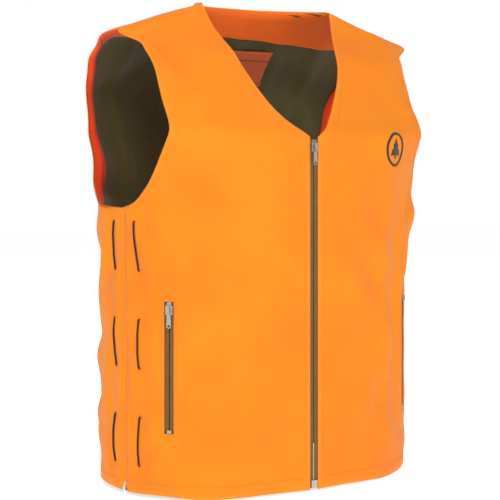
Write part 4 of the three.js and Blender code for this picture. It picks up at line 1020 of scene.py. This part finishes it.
LONG = 400  # points that a long row is measured at
HEM_ROW, SHOULDER_ROW = 0.028, 0.984
SLIT_FRAME, SLIT_SPARE = (0.700, 0.770), 0.006
run_up = np.linspace(0.03, 0.978, LONG)
for name, side in SIDES:
    def at_front(shares, ups, depth):
        angle, z = front_place(shares, ups)
        return cloth_points(side, angle, z, rolled(shares, ups) + depth)

    moving = bmesh.new()
    row_on(at_front, moving, between(0.022, 0.046, soft(run_up, ARMPIT_SHARE, ARMPIT_SHARE + 0.05)), run_up)
    row_on(at_front, moving, np.linspace(0.02, 0.30, 120), np.full(120, HEM_ROW))
    zip_row = new_piece(f"{name}_zip_and_vee_stitching", moving, thread_finish)
    hang_front(zip_row)
    still = bmesh.new()
    row_on(at_front, still, np.linspace(0.305, 0.98, 260), np.full(260, HEM_ROW))
    row_on(at_front, still, np.full(LONG, 0.984), np.linspace(0.035, ARMPIT_SHARE - 0.01, LONG))
    row_on(at_front, still, np.full(LONG, 0.962), np.linspace(ARMPIT_SHARE + 0.01, 0.98, LONG))
    row_on(at_front, still, np.linspace(0.05, 0.97, 160), np.full(160, SHOULDER_ROW))
    slit_ends = (SLIT_LOW - SLIT_SPARE, SLIT_HIGH + SLIT_SPARE)
    for share in SLIT_FRAME:
        row_on(at_front, still, np.full(160, share), np.linspace(*slit_ends, 160))
    for up in slit_ends:
        row_on(at_front, still, np.linspace(*SLIT_FRAME, 20), np.full(20, up))
    still_row = new_piece(f"{name}_front_stitching", still, thread_finish)
    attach(still_row, "vest_body")


def at_back(shares, ups, depth):
    return on_both_sides(shares, ups, rolled((shares + 1) / 2, ups, 0.006) + depth)


back_rows = bmesh.new()
row_on(at_back, back_rows, np.linspace(-0.98, 0.98, 620), np.full(620, HEM_ROW))
row_on(at_back, back_rows, np.linspace(-0.97, 0.97, 500), np.full(500, SHOULDER_ROW))
for way in (-1, 1):
    row_on(at_back, back_rows, np.full(LONG, way * 0.986), np.linspace(0.035, ARMPIT_SHARE - 0.01, LONG))
    row_on(at_back, back_rows, np.full(LONG, way * 0.962), np.linspace(ARMPIT_SHARE + 0.01, 0.98, LONG))
back_row = new_piece("back_stitching", back_rows, thread_finish)
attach(back_row, "vest_body")

# ---- Emblem ----------------------------------------------------------------------
# A badge embroidered in black satin stitch on the wearer's left chest: an open ring
# round a plain pine tree.
EMBLEM_X, EMBLEM_Z = 150, 484
EMBLEM_OUTER, EMBLEM_INNER, EMBLEM_RISE = (20, 25, 1), (16.4, 21.4, 1), 1.1
emblem_thread, emblem_shader, emblem_nodes = new_finish("black_satin_stitch", Specular_IOR_Level=0.4,
                                                        Sheen_Weight=0.2)
emblem_place = emblem_nodes.place()
emblem_parts = emblem_nodes.make("ShaderNodeSeparateXYZ", {}, {0: emblem_place})
emblem_rows = ((emblem_parts.out("Z") + emblem_parts * 0.35) * 9000).wave()
vary(emblem_shader, Base_Color=(emblem_rows * 0.5 + 0.5).tint(linear(16, 12, 11), linear(40, 32, 28)),
     Roughness=0.55 + emblem_rows * 0.1, Normal=emblem_nodes.bumped(emblem_rows, 0.0002, 0.8))

emblem = bmesh.new()
TREE = [(0, 17), (5.5, 8), (3, 8.6), (8, 0.5), (4.5, 1.2), (10.5, -9), (1.6, -7.6), (1.6, -13)]
outline = [emblem.verts.new((x, z, 0)) for x, z in TREE + [(-x, z) for x, z in TREE[:0:-1]]]
bmesh.ops.contextual_create(emblem, geom=outline)
outer = bmesh.ops.create_circle(emblem, segments=72, radius=1)["verts"]
bmesh.ops.scale(emblem, verts=outer, vec=EMBLEM_OUTER)
inner = bmesh.ops.create_circle(emblem, segments=72, radius=1)["verts"]
bmesh.ops.scale(emblem, verts=inner, vec=EMBLEM_INNER)
hoops = [e for e in emblem.edges if not e.link_faces and (e.verts[0] in outer or e.verts[0] in inner)]
bmesh.ops.bridge_loops(emblem, edges=hoops)
bmesh.ops.triangulate(emblem, faces=emblem.faces)
bmesh.ops.subdivide_edges(emblem, edges=emblem.edges, cuts=2, use_grid_fill=True)
raised = bmesh.ops.extrude_face_region(emblem, geom=emblem.faces[:])["geom"]
top_verts = [g for g in raised if isinstance(g, bmesh.types.BMVert)]
bmesh.ops.translate(emblem, verts=top_verts, vec=(0, 0, EMBLEM_RISE))
spots = np.array([v.co for v in emblem.verts])
spot_z = EMBLEM_Z + spots[:, 1]
laid = cloth_points(1, angle_at_x(EMBLEM_X + spots[:, 0], spot_z), spot_z, -spots[:, 2] + 0.15)
for vert, point in zip(emblem.verts, laid):
    vert.co = point
bmesh.ops.recalc_face_normals(emblem, faces=emblem.faces)
badge = new_piece("chest_badge", emblem, emblem_thread)
round_edges = badge.modifiers.new("round_edges", "BEVEL")
round_edges.width = 0.00035
round_edges.segments = 2
round_edges.limit_method = "ANGLE"
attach(badge, "vest_body")
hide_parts("chest_emblem")

# ---- Neck label ------------------------------------------------------------------
# A plain woven label with a dark border, its ends folded under and stitched to the
# lining below the back neck.
LABEL_X, LABEL_Z, LABEL_WIDE, LABEL_TALL = 52, 621, 80, 54
LABEL_DEPTH = 7.6
label_fabric, label_shader, label_nodes = new_finish("orange_label", Specular_IOR_Level=0.3,
                                                     Sheen_Weight=0.15)
label_parts = label_nodes.cut()
label_weave = (label_parts * 9000).wave() * (label_parts.out("Y") * 7000).wave()
label_border = label_nodes.maths("ABSOLUTE", label_parts.out("Y") - LABEL_TALL / 2 * MILLIMETRE)
label_stripe = label_border.above(0.0205) * (1 - label_border.above(0.0225))
label_tone = label_stripe * 0.8 + label_weave * 0.1
vary(label_shader, Base_Color=label_tone.tint(linear(204, 92, 48), linear(112, 50, 30)),
     Roughness=0.62 + label_weave * 0.08, Normal=label_nodes.bumped(label_weave, 0.0001, 0.6))


def on_label(share, up, depth=LABEL_DEPTH):
    x = LABEL_X + (share - 0.5) * LABEL_WIDE
    z = LABEL_Z + (up - 0.5) * LABEL_TALL
    fold = np.exp(-np.minimum(share, 1 - share) / 0.03)
    return cloth_points(1, 180 - angle_at_x(x, z), z, depth + 0.8 * np.sin(share * 5) - 1.0 * fold)


label = cloth("neck_tag", steps(0, (0.05, 4), (0.95, 26), (1, 4)), steps(0, (1, 24)), on_label,
              label_fabric, 0.0005)
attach(label, "vest_body")
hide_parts("neck_label")
label_rows = bmesh.new()
for up in (0.06, 0.94):
    row_on(lambda share, height, depth: on_label(share, height, LABEL_DEPTH + 0.5 - depth), label_rows,
           np.linspace(0.04, 0.96, 60), np.full(60, up))
label_row = new_piece("neck_tag_stitching", label_rows, thread_finish)
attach(label_row, "vest_body")

bpy.context.view_layer.update()
